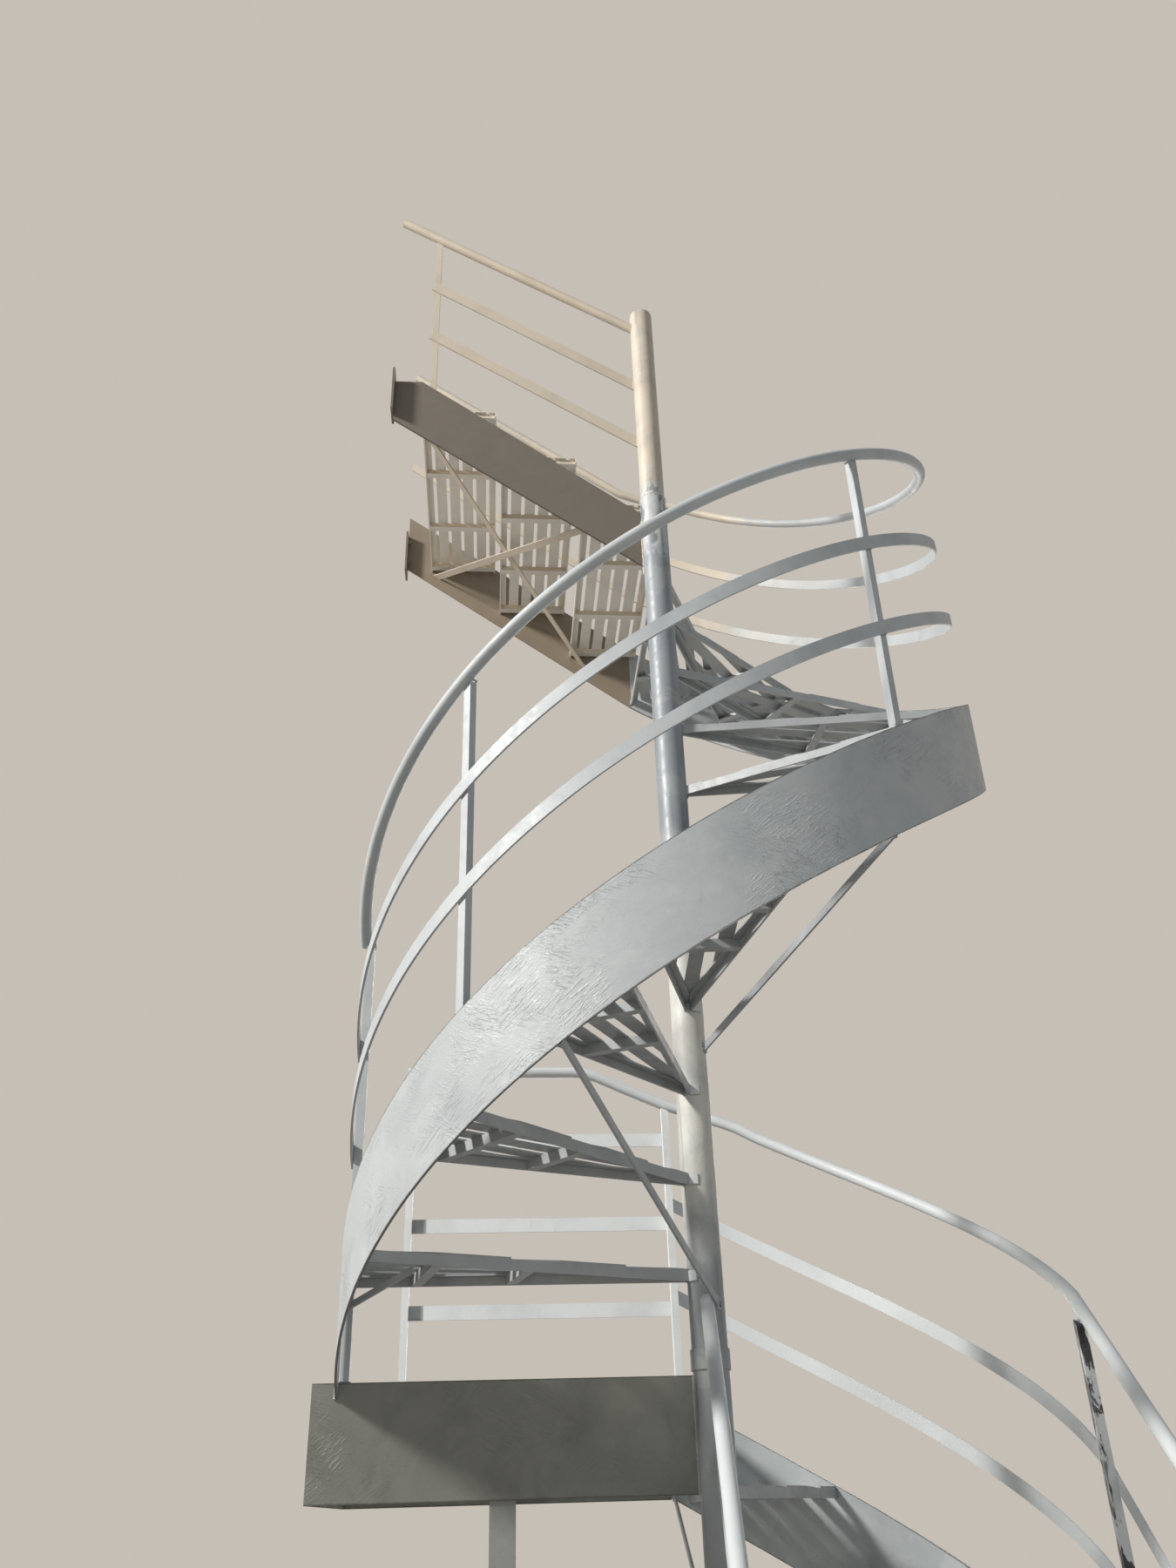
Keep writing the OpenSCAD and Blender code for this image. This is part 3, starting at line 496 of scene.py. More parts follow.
# %% [markdown]
# ## Paint on the CAD pieces
# The CAD pieces whose shape is already right keep their mesh and only get a finish.

# %% Assign the finishes
FINISHES = {
    "column_lower_pipe": column_paint, "column_collar": column_paint,
    "column_base_plate": leg_grey, "landing_legs": leg_grey,
    "upper_far_stringer": far_shaded_taupe, "upper_near_stringer": shaded_taupe, "upper_treads": slat_cream,
    "near_top_rail": cream, "near_flat_rails": cream, "near_post": cream,
    "upper_cross_braces": cream, "balcony_cleats": shaded_taupe, "column_braces": brace_grey,
    "spiral_posts": guard_paint, "landing_guard": white_with_end_shadow, "inner_top_rail": rail_white,
    "inner_flat_rails": rail_white, "lower_posts": peeling,
    "landing_front_plate": landing_shaded_olive, "landing_side_plates": landing_shaded_olive,
    "lower_outer_stringer": plate_grey, "lower_inner_stringer": plate_grey,
}


def give_finish(obj, material):
    obj.data.materials.clear()
    obj.data.materials.append(material)


for node_name, obj in nodes.items():
    give_finish(obj, FINISHES.get(node_name, tread_grey))
print("finishes given to", len(nodes), "CAD nodes")

# %% [markdown]
# ## Helpers for modelling by hand
# Blender's operators act on whatever is selected, so each helper first deselects everything. A
# finished piece keeps its object at the origin with its place in its mesh, as the CAD pieces do,
# so that patterns on Object coordinates line up from piece to piece.

# %% Helpers for modelling
def select_only(obj):
    bpy.ops.object.select_all(action="DESELECT")
    obj.select_set(True)
    bpy.context.view_layer.objects.active = obj


def apply_place(obj):
    select_only(obj)
    bpy.ops.object.transform_apply(location=True, rotation=True, scale=True)


def join(parts):
    bpy.ops.object.select_all(action="DESELECT")
    for part in parts:
        part.select_set(True)
    bpy.context.view_layer.objects.active = parts[0]
    bpy.ops.object.join()
    return bpy.context.object


def twin_at(obj, place, azimuth=0.0):
    """A copy with its own mesh, turned about the column's axis and then moved."""
    select_only(obj)
    bpy.ops.object.duplicate(linked=False)
    twin = bpy.context.object
    twin.rotation_euler = (0, 0, math.radians(azimuth))
    twin.location = place
    apply_place(twin)
    return twin


def finish_piece(obj, name, material, replaced=()):
    """Names a piece, gives it its finish and lets it ride on the stair."""
    apply_place(obj)
    obj.name = obj.data.name = name
    give_finish(obj, material)
    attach(obj, "root")
    if replaced:
        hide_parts(*replaced)
    print(name, "has", len(obj.data.polygons), "faces")
    return obj


# %% [markdown]
# ## Rolled plates
# A plate rolled to a helix is what the Screw modifier makes: it carries a profile round an axis
# while it lifts it. The profile is a plane with its face taken out, stood on edge at the stair's
# radius. The lift of one turn follows from the step, so the plate climbs with the treads.

# %% A bar rolled to a helix
def close_ends():
    """In edit mode, fills the open rims and turns all faces outwards."""
    bpy.ops.mesh.select_mode(type="EDGE")
    bpy.ops.mesh.select_all(action="DESELECT")
    bpy.ops.mesh.select_non_manifold(extend=False, use_wire=False, use_boundary=True,
                                     use_multi_face=False, use_non_contiguous=False, use_verts=False)
    bpy.ops.mesh.fill_holes(sides=0)
    bpy.ops.mesh.select_all(action="SELECT")
    bpy.ops.mesh.normals_make_consistent(inside=False)


def rolled_bar(radius, thickness, height, low_z, from_azimuth, to_azimuth, climb_per_degree,
               steps=None):
    """An upright flat bar on a helix: low_z is the height of its lower edge where it starts."""
    bpy.ops.object.select_all(action="DESELECT")
    bpy.ops.mesh.primitive_plane_add(size=1)
    bar = bpy.context.object
    bar.scale = (thickness, height, 1)
    bar.rotation_euler = (math.radians(90), 0, 0)
    bar.location = (radius, 0, low_z + height / 2)
    apply_place(bar)
    bpy.ops.object.mode_set(mode="EDIT")
    bpy.ops.mesh.select_all(action="SELECT")
    bpy.ops.mesh.delete(type="ONLY_FACE")
    bpy.ops.object.mode_set(mode="OBJECT")
    turn = to_azimuth - from_azimuth
    screw = bar.modifiers.new("roll", "SCREW")
    screw.angle = math.radians(turn)
    screw.screw_offset = climb_per_degree * turn
    screw.steps = screw.render_steps = steps or max(8, round(abs(turn)))
    screw.use_smooth_shade = False
    bpy.ops.object.modifier_apply(modifier="roll")
    bpy.ops.object.mode_set(mode="EDIT")
    close_ends()
    bpy.ops.object.mode_set(mode="OBJECT")
    bar.rotation_euler = (0, 0, math.radians(from_azimuth))
    apply_place(bar)
    bpy.ops.object.shade_smooth_by_angle(angle=math.radians(30))
    return bar


# %% [markdown]
# The two big stringers are such bars. The spiral's starts at the landing's front plate, and the lower
# one ends at the landing's edge, each a hair clear of the plate that it is welded to.

# %% The two rolled stringers
stringer_start = 180 + math.degrees(math.asin((PLATE / 2 + FIT) / INNER_R))
spiral_plate = rolled_bar(
    STAIR_R, PLATE, OUTER_PLATE, spiral_z(stringer_start) - OUTER_PLATE, stringer_start, 450,
    RISE / STEP_ANGLE,
)
finish_piece(spiral_plate, "spiral_plate_rolled", spiral_grey, ["spiral_stringer"])
curve_start = 90 - math.degrees(math.asin(FIT / INNER_R))
lower_plate = rolled_bar(
    STAIR_R, PLATE, OUTER_PLATE, winder_z(TURN) - OUTER_PLATE, TURN, curve_start,
    RISE / WINDER_ANGLE,
)
finish_piece(lower_plate, "lower_plate_rolled", winder_grey, ["lower_curved_stringer"])

# %% [markdown]
# ## Flat rails
# The flats of the guard are rolled in the same way and then run on straight along the next flight.
# The straight part is the bar's own end face, picked by its place and extruded, so that the bar
# stays one piece as the real one does.

# %% Flats that run on straight
def run_on(bar, end, step):
    """Extrudes the end face whose middle lies at this point by a straight step."""
    select_only(bar)
    bpy.ops.object.mode_set(mode="EDIT")
    bpy.ops.mesh.select_mode(type="FACE")
    bpy.ops.mesh.select_all(action="DESELECT")
    bpy.ops.object.mode_set(mode="OBJECT")
    picked = min(bar.data.polygons, key=lambda face: (face.center - end).length)
    picked.select = True
    bpy.ops.object.mode_set(mode="EDIT")
    bpy.ops.mesh.extrude_region_move(TRANSFORM_OT_translate={"value": step})
    bpy.ops.mesh.select_all(action="SELECT")
    bpy.ops.mesh.normals_make_consistent(inside=False)
    bpy.ops.object.mode_set(mode="OBJECT")
    bpy.ops.object.shade_smooth_by_angle(angle=math.radians(30))


spiral_flats = []
for level in (FLAT_HIGH, FLAT_LOW):
    bar = rolled_bar(STAIR_R, FLAT_T, FLAT_H, spiral_z(RAIL_START) + level - FLAT_H / 2,
                     RAIL_START, 450, RISE / STEP_ANGLE)
    run_on(bar, around(STAIR_R, 450, spiral_z(450) + level), (-UPPER_RUN, 0, UPPER_SLOPE * UPPER_RUN))
    spiral_flats.append(bar)
finish_piece(join(spiral_flats), "spiral_flats_rolled", guard_paint,
             ["spiral_flat_rails"])

# %% [markdown]
# The lower flight's flats start close by the landing's edge. They too are rolled from their foot up,
# but here the straight run lies below the curve, so it is drawn out of the bar's lower end.

# %% The lower flight's flats
FLATS_FROM_X = 0.039
flat_start = math.degrees(math.acos(FLATS_FROM_X / INNER_R))
lower_flats = []
for level in (FLAT_HIGH, FLAT_LOW):
    bar = rolled_bar(STAIR_R, FLAT_T, FLAT_H, winder_z(TURN) + level - FLAT_H / 2, TURN, flat_start,
                     RISE / WINDER_ANGLE)
    run_on(bar, lower_run(STAIR_R, 0, level),
           lower_run(STAIR_R, LOWER_RAIL_RUN) - lower_run(STAIR_R, 0))
    lower_flats.append(bar)
finish_piece(join(lower_flats), "lower_flats_rolled", rail_white,
             ["lower_flat_rails"])

# %% [markdown]
# ## Round rails
# A top rail is one pipe bent along the flight. It is drawn as a curve through the points that the
# bender would mark out, given the pipe's thickness, and made a mesh with its ends closed.

# %% Helper for bent pipes
RAIL_D = 0.0338


def bent_pipe(points, diameter):
    bpy.ops.object.select_all(action="DESELECT")
    bpy.ops.curve.primitive_nurbs_path_add()
    pipe = bpy.context.object
    pipe.data.splines.clear()
    spline = pipe.data.splines.new("POLY")
    spline.points.add(len(points) - 1)
    for target, point in zip(spline.points, points):
        target.co = (*point, 1)
    pipe.data.bevel_depth = diameter / 2
    pipe.data.bevel_resolution = 6
    pipe.data.use_fill_caps = True
    pipe.data.twist_mode = "Z_UP"
    select_only(pipe)
    bpy.ops.object.convert(target="MESH")
    pipe = bpy.context.object
    bpy.ops.object.mode_set(mode="EDIT")
    bpy.ops.mesh.select_all(action="SELECT")
    bpy.ops.mesh.remove_doubles(threshold=0.00005)
    bpy.ops.mesh.normals_make_consistent(inside=False)
    bpy.ops.object.mode_set(mode="OBJECT")
    bpy.ops.object.shade_smooth_by_angle(angle=math.radians(40))
    return pipe


# %% [markdown]
# The spiral's rail keeps one height over the treads until it nears the straight flight. There it
# dips a little, because the rail lies lower over that flight's treads.

# %% The spiral's top rail
def rail_z(azimuth):
    dip = RAIL_DIP * max(0, azimuth - DIP_FROM) / (450 - DIP_FROM)
    return spiral_z(azimuth) + GUARD_H - dip


rail_azimuths = [RAIL_START + (450 - RAIL_START) * i / 200 for i in range(201)]
rail_points = [around(STAIR_R, a, rail_z(a)) for a in rail_azimuths]
rail_end = UPPER_FIRST_Z + LIP + GUARD_H - RAIL_DIP
rail_points += [
    Vector((-UPPER_RUN * s, STAIR_R, rail_end + UPPER_SLOPE * UPPER_RUN * s)) for s in (0.04, 0.5, 1)
]
spiral_rail = bent_pipe(rail_points, RAIL_D)
finish_piece(spiral_rail, "spiral_rail_bent", guard_paint, ["spiral_top_rail"])

# %% [markdown]
# The lower rail starts level over the landing, drops in an S at its edge and then follows the
# winders down and out along the straight run.

# %% The lower flight's top rail
# From this azimuth down the rail keeps its height over the winders
FOLLOWS_FROM = 68
landing_rail_z = LANDING_Z + LANDING_GUARD_H
# How far the rail has dropped, by its x over the landing and then by its azimuth past the edge
falls = [(-0.812, 0), (-0.262, 0), (-0.222, 0.004), (-0.180, 0.018), (-0.078, 0.063)]
bends = [(87.2, 0.115), (82, 0.142), (77, 0.172), (72.5, 0.201)]
lower_points = [Vector((x, STAIR_R, landing_rail_z - drop)) for x, drop in falls]
lower_points += [around(STAIR_R, a, landing_rail_z - drop) for a, drop in bends]
lower_points += [
    around(STAIR_R, a, winder_z(a) + LOWER_GUARD_H)
    for a in (FOLLOWS_FROM + (TURN - FOLLOWS_FROM) * i / 60 for i in range(61))
]
lower_points += [lower_run(STAIR_R, LOWER_RAIL_RUN * s, LOWER_GUARD_H) for s in (0.25, 0.5, 0.75, 1)]
lower_rail = bent_pipe(lower_points, RAIL_D)
finish_piece(lower_rail, "lower_rail_bent", rail_white, ["lower_top_rail"])

# %% [markdown]
# ## The column's head
# The upper pipe ends in a pressed cap with a well-rounded shoulder. A cylinder is added at the
# pipe's size, its top rim is picked by height, and a bevel of many segments rounds it.

# %% The upper pipe with its round cap
CAP_ROUND = 0.017
bpy.ops.object.select_all(action="DESELECT")
bpy.ops.mesh.primitive_cylinder_add(
    vertices=72, radius=UPPER_COLUMN_R, depth=COLUMN_HEAD,
    location=(0, 0, UPPER_FIRST_Z + COLUMN_HEAD / 2),
)
upper_pipe = bpy.context.object
apply_place(upper_pipe)
bpy.ops.object.mode_set(mode="EDIT")
bpy.ops.mesh.select_mode(type="EDGE")
bpy.ops.mesh.select_all(action="DESELECT")
bpy.ops.object.mode_set(mode="OBJECT")
pipe_points = upper_pipe.data.vertices
for edge in upper_pipe.data.edges:
    edge.select = all(pipe_points[i].co.z > UPPER_FIRST_Z + COLUMN_HEAD - 0.001 for i in edge.vertices)
bpy.ops.object.mode_set(mode="EDIT")
bpy.ops.mesh.bevel(offset=CAP_ROUND, segments=7, profile=0.5, affect="EDGES")
bpy.ops.object.mode_set(mode="OBJECT")
bpy.ops.object.shade_smooth_by_angle(angle=math.radians(40))
finish_piece(upper_pipe, "upper_pipe_capped", column_paint, ["column_upper_pipe"])

# %% [markdown]
# ## Tabs at the column
# The far bar of each wedge tread ends in a short tab that is bent round the pipe and lapped on it.
# The tab is the rolled bar once more, a few centimetres long, made once and copied to each tread.

# %% Tread tabs
TAB_T, TAB_H, TAB_DROP = 0.003, 0.024, 0.0292
TAB_START, TAB_TURN = -3, 31
TAB_R = COLUMN_R + 0.0021
pattern_tab = rolled_bar(TAB_R, TAB_T, TAB_H, 0, TAB_START, TAB_TURN, 0, steps=10)
tabs = [twin_at(pattern_tab, (0, 0, top - TAB_DROP), high) for low, high, top in WEDGES]
select_only(pattern_tab)
bpy.ops.object.delete()
finish_piece(join(tabs), "tread_tabs", rail_white)

# %% [markdown]
# ## Weld beads
# Every joint of the stair is welded, and paint doesn't hide the beads. A bead is a thin pipe along
# the joint whose thickness ripples from drop to drop. All beads of one paint are splines of one
# curve, which is quick to build, and seeded chance makes each of them a little different.

# %% Helpers for beads
# The thickness from a bead's middle to its face, and the length of one drop along it
BEAD, FINE_BEAD = 0.0028, 0.0022
DROP = 0.0032
chance = random.Random(7)
beads = {"grey": [], "cream": []}


def bead(paint, corners, size=BEAD, closed=False):
    """Adds a bead along straight lines between these corners."""
    corners = [Vector(corner) for corner in corners]
    if closed:
        corners.append(corners[0])
    points = []
    for start, end in zip(corners, corners[1:]):
        count = max(2, round((end - start).length / DROP))
        points += [start.lerp(end, i / count) for i in range(count)]
    points.append(corners[-1])
    wobble = size * 0.22
    laid = [
        (point + Vector([chance.uniform(-wobble, wobble) for _ in range(3)]),
         1 + 0.22 * (-1) ** i + chance.uniform(-0.15, 0.15))
        for i, point in enumerate(points)
    ]
    beads[paint].append((laid, size))


def lay_beads(paint):
    bpy.ops.object.select_all(action="DESELECT")
    bpy.ops.curve.primitive_nurbs_path_add()
    curve = bpy.context.object
    curve.data.splines.clear()
    for laid, size in beads[paint]:
        spline = curve.data.splines.new("POLY")
        spline.points.add(len(laid) - 1)
        for target, (point, thick) in zip(spline.points, laid):
            target.co = (*point, 1)
            target.radius = thick * size / BEAD
    curve.data.bevel_depth = BEAD
    curve.data.bevel_resolution = 1
    curve.data.use_fill_caps = True
    select_only(curve)
    bpy.ops.object.convert(target="MESH")
    curve = bpy.context.object
    bpy.ops.object.mode_set(mode="EDIT")
    bpy.ops.mesh.select_all(action="SELECT")
    bpy.ops.mesh.remove_doubles(threshold=0.00002)
    bpy.ops.mesh.normals_make_consistent(inside=False)
    bpy.ops.object.mode_set(mode="OBJECT")
    bpy.ops.object.shade_smooth_by_angle(angle=math.radians(60))
    return curve


# %% [markdown]
# The wedge treads are welded at both ends: their side bars to the pipe and to the rolled plate.

# %% Beads of the wedge treads
BAR_TOP, BAR_FOOT = -0.005, -0.029
# A bead's own middle stands this far off the plate, and off the pipe
OFF_PLATE, OFF_PIPE = 0.0012, 0.001
on_plate, on_pipe = INNER_R - OFF_PLATE, COLUMN_R + OFF_PIPE
for low, high, top in WEDGES:
    for azimuth, side in ((low, -1), (high, 1)):
        rim = math.degrees(OFF_PLATE / INNER_R) * side
        bead("grey", [around(on_plate, azimuth + rim, top + BAR_TOP),
                      around(on_plate, azimuth + rim, top + BAR_FOOT),
                      around(on_plate, azimuth - side * 0.4, top + BAR_FOOT)])
    bead("grey", [around(on_pipe, low - 1.2, top + BAR_TOP),
                  around(on_pipe, low - 1.2, top + BAR_FOOT),
                  around(on_pipe, low + 6, top + BAR_FOOT)], 0.0024)
    lap = [around(on_pipe, high + TAB_TURN * t / 4, top + BAR_FOOT - 0.001) for t in range(5)]
    lap += [around(on_pipe, high + TAB_TURN + 1, top + z) for z in (BAR_FOOT, BAR_TOP)]
    bead("grey", lap, FINE_BEAD)
print(len(beads["grey"]), "beads on the wedge treads")

# %% [markdown]
# Posts are welded to the inner face of the stringers by their lower ends, the flats are tacked on
# the posts' outer faces, and the rail sits on the post's head.

# %% Beads of the spiral's posts and flats
# The posts' azimuths, and how far down the plate their lower ends lap
POSTS_AT = (179.06, 226.7, 300.5, 441)
LAP = 0.080
half_turn = math.degrees((POST_W / 2 + 0.001) / INNER_R)
for azimuth in POSTS_AT:
    sides = (azimuth - half_turn, azimuth + half_turn)
    edge = spiral_z(azimuth)
    if azimuth > 180:
        foot = edge - LAP
        bead("grey", [around(INNER_R - 0.001, sides[s], z)
                      for s, z in ((0, edge), (0, foot), (1, foot), (1, edge))])
    else:
        bead("grey", [around(INNER_R - (POST_W + 0.002) * t, sides[s], LANDING_Z + 0.001)
                      for t, s in ((0, 0), (1, 0), (1, 1), (0, 1))])
    for level in (FLAT_HIGH, FLAT_LOW):
        for rim in (-FLAT_H / 2, FLAT_H / 2):
            bead("grey", [around(INNER_R, side, spiral_z(side) + level + rim) for side in sides],
                 FINE_BEAD)
    bead("grey", [around(INNER_R - (POST_W + 0.001) * t, sides[s],
                         rail_z(sides[s]) - RAIL_D / 2 + 0.001 + 0.005 * t)
                  for t, s in ((0, 0), (1, 0), (1, 1), (0, 1))], FINE_BEAD)

# %% [markdown]
# The landing's front plate and the near stringer meet the column edge on, with a bead down each
# side. A heavy bead runs round the joint of the two pipes, and each near rail has a ring of weld
# where it lands on the upper pipe.

# %% Beads of the landing and the straight plates
# Each near rail at the column: height over the first step, slope, half its height and half its width
NEAR_RAILS = ((0.839, 0.64, 0.017, 0.017), (0.536, 0.668, FLAT_H / 2, 0.004),
              (0.251, 0.69, FLAT_H / 2, 0.004))
near_top = UPPER_FIRST_Z - NEAR_DROP
for y in (-0.0038, 0.0038):
    x = -math.sqrt(on_pipe ** 2 - y ** 2)
    bead("grey", [(x, y, LANDING_Z - LANDING_PLATE), (x, y, LANDING_Z - 0.002)])
    bead("cream", [(x, y, near_top - 0.230), (x, y, near_top - 0.002)])
corner = [around(STAIR_R + 0.0034, 180.35, LANDING_Z + z) for z in (-0.034, 0)]
bead("grey", corner)
joint = [around(UPPER_COLUMN_R + OFF_PIPE, 360 * i / 24, UPPER_FIRST_Z + 0.001) for i in range(24)]
bead("cream", joint, 0.0034, closed=True)
for z, slope, half, wide in NEAR_RAILS:
    height = UPPER_FIRST_Z + z + UPPER_COLUMN_R * slope
    ring = []
    for a in range(0, 360, 30):
        c, s = math.cos(math.radians(a)), math.sin(math.radians(a))
        x = -math.sqrt(UPPER_COLUMN_R ** 2 - (wide * c) ** 2) - 0.0005
        ring.append((x, wide * c, height + half * 1.1 * s))
    bead("cream", ring, FINE_BEAD, closed=True)
print(len(beads["grey"]), "grey beads,", len(beads["cream"]), "cream beads")

# %% [markdown]
# Three struts of flat bar run from the pipe to the plates. Their feet on the pipe were welded all
# round, overhead, and the beads there are heavy and lumpy. The short strut under the first tread is
# left without.

# %% Beads of the braces
def under_stringer(azimuth):
    return spiral_z(azimuth) - OUTER_PLATE + 0.010


# Each brace: azimuth and height of its head on the plate, then of its foot on the pipe
BRACES = [(243.7, under_stringer(243.7), 298, LANDING_Z + 0.157),
          (295.5, under_stringer(295.5), 325, LANDING_Z + 0.800),
          (89.5, LANDING_Z - 0.240, 110, LANDING_Z - 0.620)]
for out_at, out_z, foot_at, foot_z in BRACES:
    foot, head = around(COLUMN_R, foot_at, foot_z), around(INNER_R, out_at, out_z)
    run = (head - foot).normalized()
    flat = run.cross(Vector((0, 0, 1))).normalized()
    tall = flat.cross(run).normalized()
    for end, radius, size in ((foot, COLUMN_R, 0.0042), (head, INNER_R, 0.0030)):
        ring = []
        for a in range(0, 360, 40):
            c, s = math.cos(math.radians(a)), math.sin(math.radians(a))
            point = end + flat * 0.0055 * c + tall * 0.0125 * s
            # Each point slides along the brace to the face that the brace meets
            for _ in range(4):
                reach = math.hypot(point.x, point.y)
                point = point + run * (radius - reach) / max(0.2, abs(run.xy.dot(point.xy) / reach))
            ring.append(point)
        bead("grey", ring, size, closed=True)
finish_piece(lay_beads("grey"), "grey_weld_beads", weld_grey)
finish_piece(lay_beads("cream"), "cream_weld_beads", cream)

# %% [markdown]
# ## Bolts
# Four anchor bolts hold the column's foot and four more tie the stringers to the balcony. A nut is a
# cylinder of six sides with its rim chamfered, on a thin washer, with the bolt's end standing out.

# %% One bolt, modelled once
def round_part(radius, height, low, sides, chamfer):
    bpy.ops.object.select_all(action="DESELECT")
    bpy.ops.mesh.primitive_cylinder_add(vertices=sides, radius=radius, depth=height,
                                        location=(0, 0, low + height / 2))
    part = bpy.context.object
    apply_place(part)
    bpy.ops.object.mode_set(mode="EDIT")
    bpy.ops.mesh.select_mode(type="EDGE")
    bpy.ops.mesh.select_all(action="DESELECT")
    bpy.ops.object.mode_set(mode="OBJECT")
    points = part.data.vertices
    for edge in part.data.edges:
        edge.select = all(points[i].co.z > low + height - 0.0001 for i in edge.vertices)
    bpy.ops.object.mode_set(mode="EDIT")
    bpy.ops.mesh.bevel(offset=chamfer, segments=2, affect="EDGES")
    bpy.ops.object.mode_set(mode="OBJECT")
    bpy.ops.object.shade_smooth_by_angle(angle=math.radians(35))
    return part


def bolt_end(size):
    """Washer, nut and stud for a thread of this diameter, standing on z = 0."""
    return join([
        round_part(size * 0.94, size * 0.18, 0, 24, 0.0004),
        round_part(size * 0.86, size * 0.80, size * 0.18, 6, 0.0012),
        round_part(size * 0.50, size * 0.45, size * 0.98, 16, 0.0010),
    ])


# %% [markdown]
# A nut never stops at the same angle twice, so each foot bolt is turned a little further than the
# last. The balcony's bolts lie on their side, and their nuts bear on the faces of the cleats that
# look down the stair.

# %% The foot's and the balcony's bolts
# The base plate is this thick, and its holes lie this far from its middle lines
BASE_PLATE_T, FOOT_HOLE = 0.012, 0.095
# The cleats hang this far below the third step, and their holes lie this far in and up
CLEAT_DROP, CLEAT_HOLE_IN, CLEAT_HOLES_UP = 0.260, 0.024, (0.050, 0.150)
foot_bolt = bolt_end(0.016)
foot_bolts = [twin_at(foot_bolt, (x * FOOT_HOLE, y * FOOT_HOLE, BASE_PLATE_T), 17 * i)
              for i, (x, y) in enumerate([(-1, -1), (1, -1), (1, 1), (-1, 1)])]
select_only(foot_bolt)
bpy.ops.object.delete()
finish_piece(join(foot_bolts), "foot_bolts", leg_grey)
tie_bolt = bolt_end(0.012)
tie_bolt.rotation_euler = (0, math.radians(90), 0)
apply_place(tie_bolt)
cleat_z = UPPER_FIRST_Z + 3 * UPPER_RISE - CLEAT_DROP
tie_bolts = [twin_at(tie_bolt, (-UPPER_RUN - FIT, y, cleat_z + z))
             for y in (CLEAT_HOLE_IN, STAIR_R - CLEAT_HOLE_IN) for z in CLEAT_HOLES_UP]
select_only(tie_bolt)
bpy.ops.object.delete()
finish_piece(join(tie_bolts), "balcony_bolts", shaded_taupe)

# %% [markdown]
# ## The stage
# The photograph looks up at the stair from standing height, so most of the background is the world.
# The floor is pale and keeps the stair's shadow, and far away it fades into the backdrop's tone, but
# only where it is looked at, straight or in a gloss: the light that it throws back on the stair stays
# that of a plain floor.

# %% Floor
BACKDROP = srgb(198, 191, 182)


def seen_rays(tree):
    """1 where a surface is looked at: straight, in a gloss or through glass."""
    straight, gloss, through = [add_node(tree, "ShaderNodeLightPath", output=name)
                                for name in ("Is Camera Ray", "Is Glossy Ray", "Is Transmission Ray")]
    return straight + gloss + through


bpy.ops.object.select_all(action="DESELECT")
bpy.ops.mesh.primitive_plane_add(size=60, location=(0, 0, 0))
floor = bpy.context.object
floor.name = "floor"
floor_material, floor_tree = new_tree("pale_floor")
floor_paint = add_node(
    floor_tree, "ShaderNodeBsdfPrincipled", {},
    {"Base Color": mix_colour(floor_tree, noise(floor_tree, 0.8, 3),
                              srgb(180, 174, 166), srgb(173, 167, 159)),
     "Roughness": 0.85},
)
distance = add_node(floor_tree, "ShaderNodeVectorMath", {"operation": "LENGTH"},
                    {0: object_place(floor_tree)}, output="Value")
far_glow = add_node(floor_tree, "ShaderNodeEmission", {}, {"Color": BACKDROP, "Strength": 1.0})
floor_shader = add_node(floor_tree, "ShaderNodeMixShader", {}, {
    0: ramp(floor_tree, distance, 2.5, 9.0) * seen_rays(floor_tree), 1: floor_paint, 2: far_glow,
})
add_node(floor_tree, "ShaderNodeOutputMaterial", {}, {"Surface": floor_shader})
give_finish(floor, floor_material)

# %% [markdown]
# ## The backdrop
# A photographer's paper roll would do two things at once: it is what the camera sees behind the
# stair, and it throws light. Here the two are kept apart, so that the tone of the backdrop can be
# chosen without changing the light on the paint.

# %% World
world = bpy.data.worlds.new("studio")
bpy.context.scene.world = world
world.use_nodes = True
sky = world.node_tree
sky.nodes.clear()
seen = add_node(sky, "ShaderNodeBackground", {}, {"Color": BACKDROP, "Strength": 1.0})
light = add_node(sky, "ShaderNodeBackground", {}, {"Color": (0.86, 0.93, 1.0, 1), "Strength": 0.26})
blend = add_node(sky, "ShaderNodeMixShader", {}, {0: seen_rays(sky), 1: light, 2: seen})
add_node(sky, "ShaderNodeOutputWorld", {}, {"Surface": blend})
print("backdrop", [round(c, 3) for c in BACKDROP[:3]])

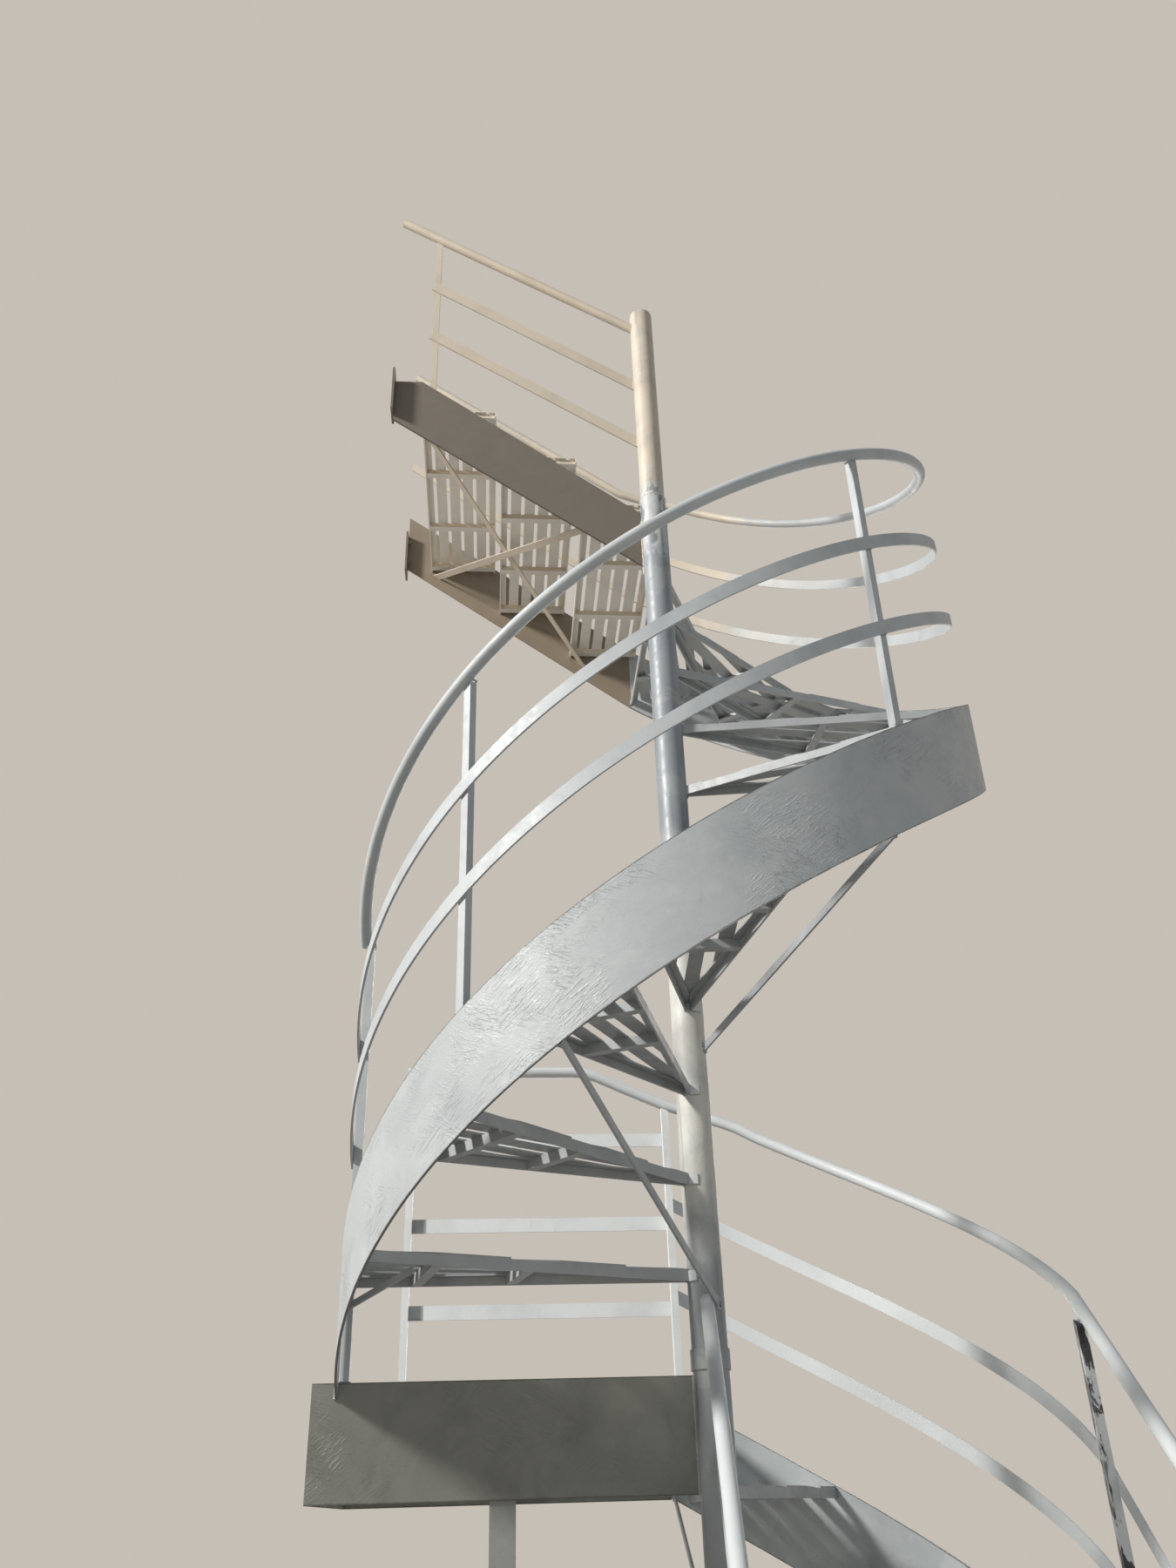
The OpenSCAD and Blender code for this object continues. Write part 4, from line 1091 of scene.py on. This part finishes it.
# %% [markdown]
# ## The lamps
# The key lamp stands high on the left, where the sun was, and far enough away that all of the stair
# gets the same light. Two weaker and softer lamps open up the shade without a second set of shadows.

# %% Lamps
def soft_lamp(name, place, target, size, power, colour):
    bpy.ops.object.light_add(type="AREA", location=place)
    lamp = bpy.context.object
    lamp.name = name
    lamp.data.shape = "DISK"
    lamp.data.size = size
    lamp.data.energy = power
    lamp.data.color = colour
    lamp.rotation_euler = (Vector(target) - Vector(place)).to_track_quat("-Z", "Y").to_euler()


soft_lamp("key", (-10.0, -4.2, 10.0), (0, 0, 3.2), 1.8, 2250, (1.0, 0.975, 0.94))
soft_lamp("fill", (4.5, -7.0, 2.0), (0, 0, 3.0), 5.0, 60, (0.90, 0.95, 1.0))
soft_lamp("back", (2.0, 9.5, 5.0), (0, 0, 6.0), 7.0, 460, (1.0, 0.97, 0.93))

# %% [markdown]
# ## The camera
# The camera's place and turn were solved from the photograph: a pipe of a stock size, level treads
# and upright posts fix them. The roll is small, because the camera was held almost level.

# %% Camera
IMAGE_H, FOCAL_PX = 1800, 1472
SENSOR_H = 24
YAW, PITCH, ROLL = 0.082, 0.520, -0.030
EYE = Vector((-0.5284, -3.3401, LANDING_Z - 0.2904))
right = Vector((math.cos(YAW), -math.sin(YAW), 0))
ahead = Vector((math.sin(YAW) * math.cos(PITCH), math.cos(YAW) * math.cos(PITCH), math.sin(PITCH)))
up = right.cross(ahead)
rolled_right = math.cos(ROLL) * right + math.sin(ROLL) * up
rolled_up = -math.sin(ROLL) * right + math.cos(ROLL) * up
camera_data = bpy.data.cameras.new("camera")
camera_data.sensor_fit = "VERTICAL"
camera_data.sensor_height = SENSOR_H
camera_data.lens = SENSOR_H * FOCAL_PX / IMAGE_H
camera = bpy.data.objects.new("camera", camera_data)
bpy.context.scene.collection.objects.link(camera)
turn = Matrix((rolled_right, rolled_up, -ahead)).transposed().to_4x4()
camera.matrix_world = Matrix.Translation(EYE) @ turn
bpy.context.scene.camera = camera
bpy.context.scene.view_settings.view_transform = "Standard"
print("camera looks up by", round(math.degrees(PITCH), 1), "degrees")
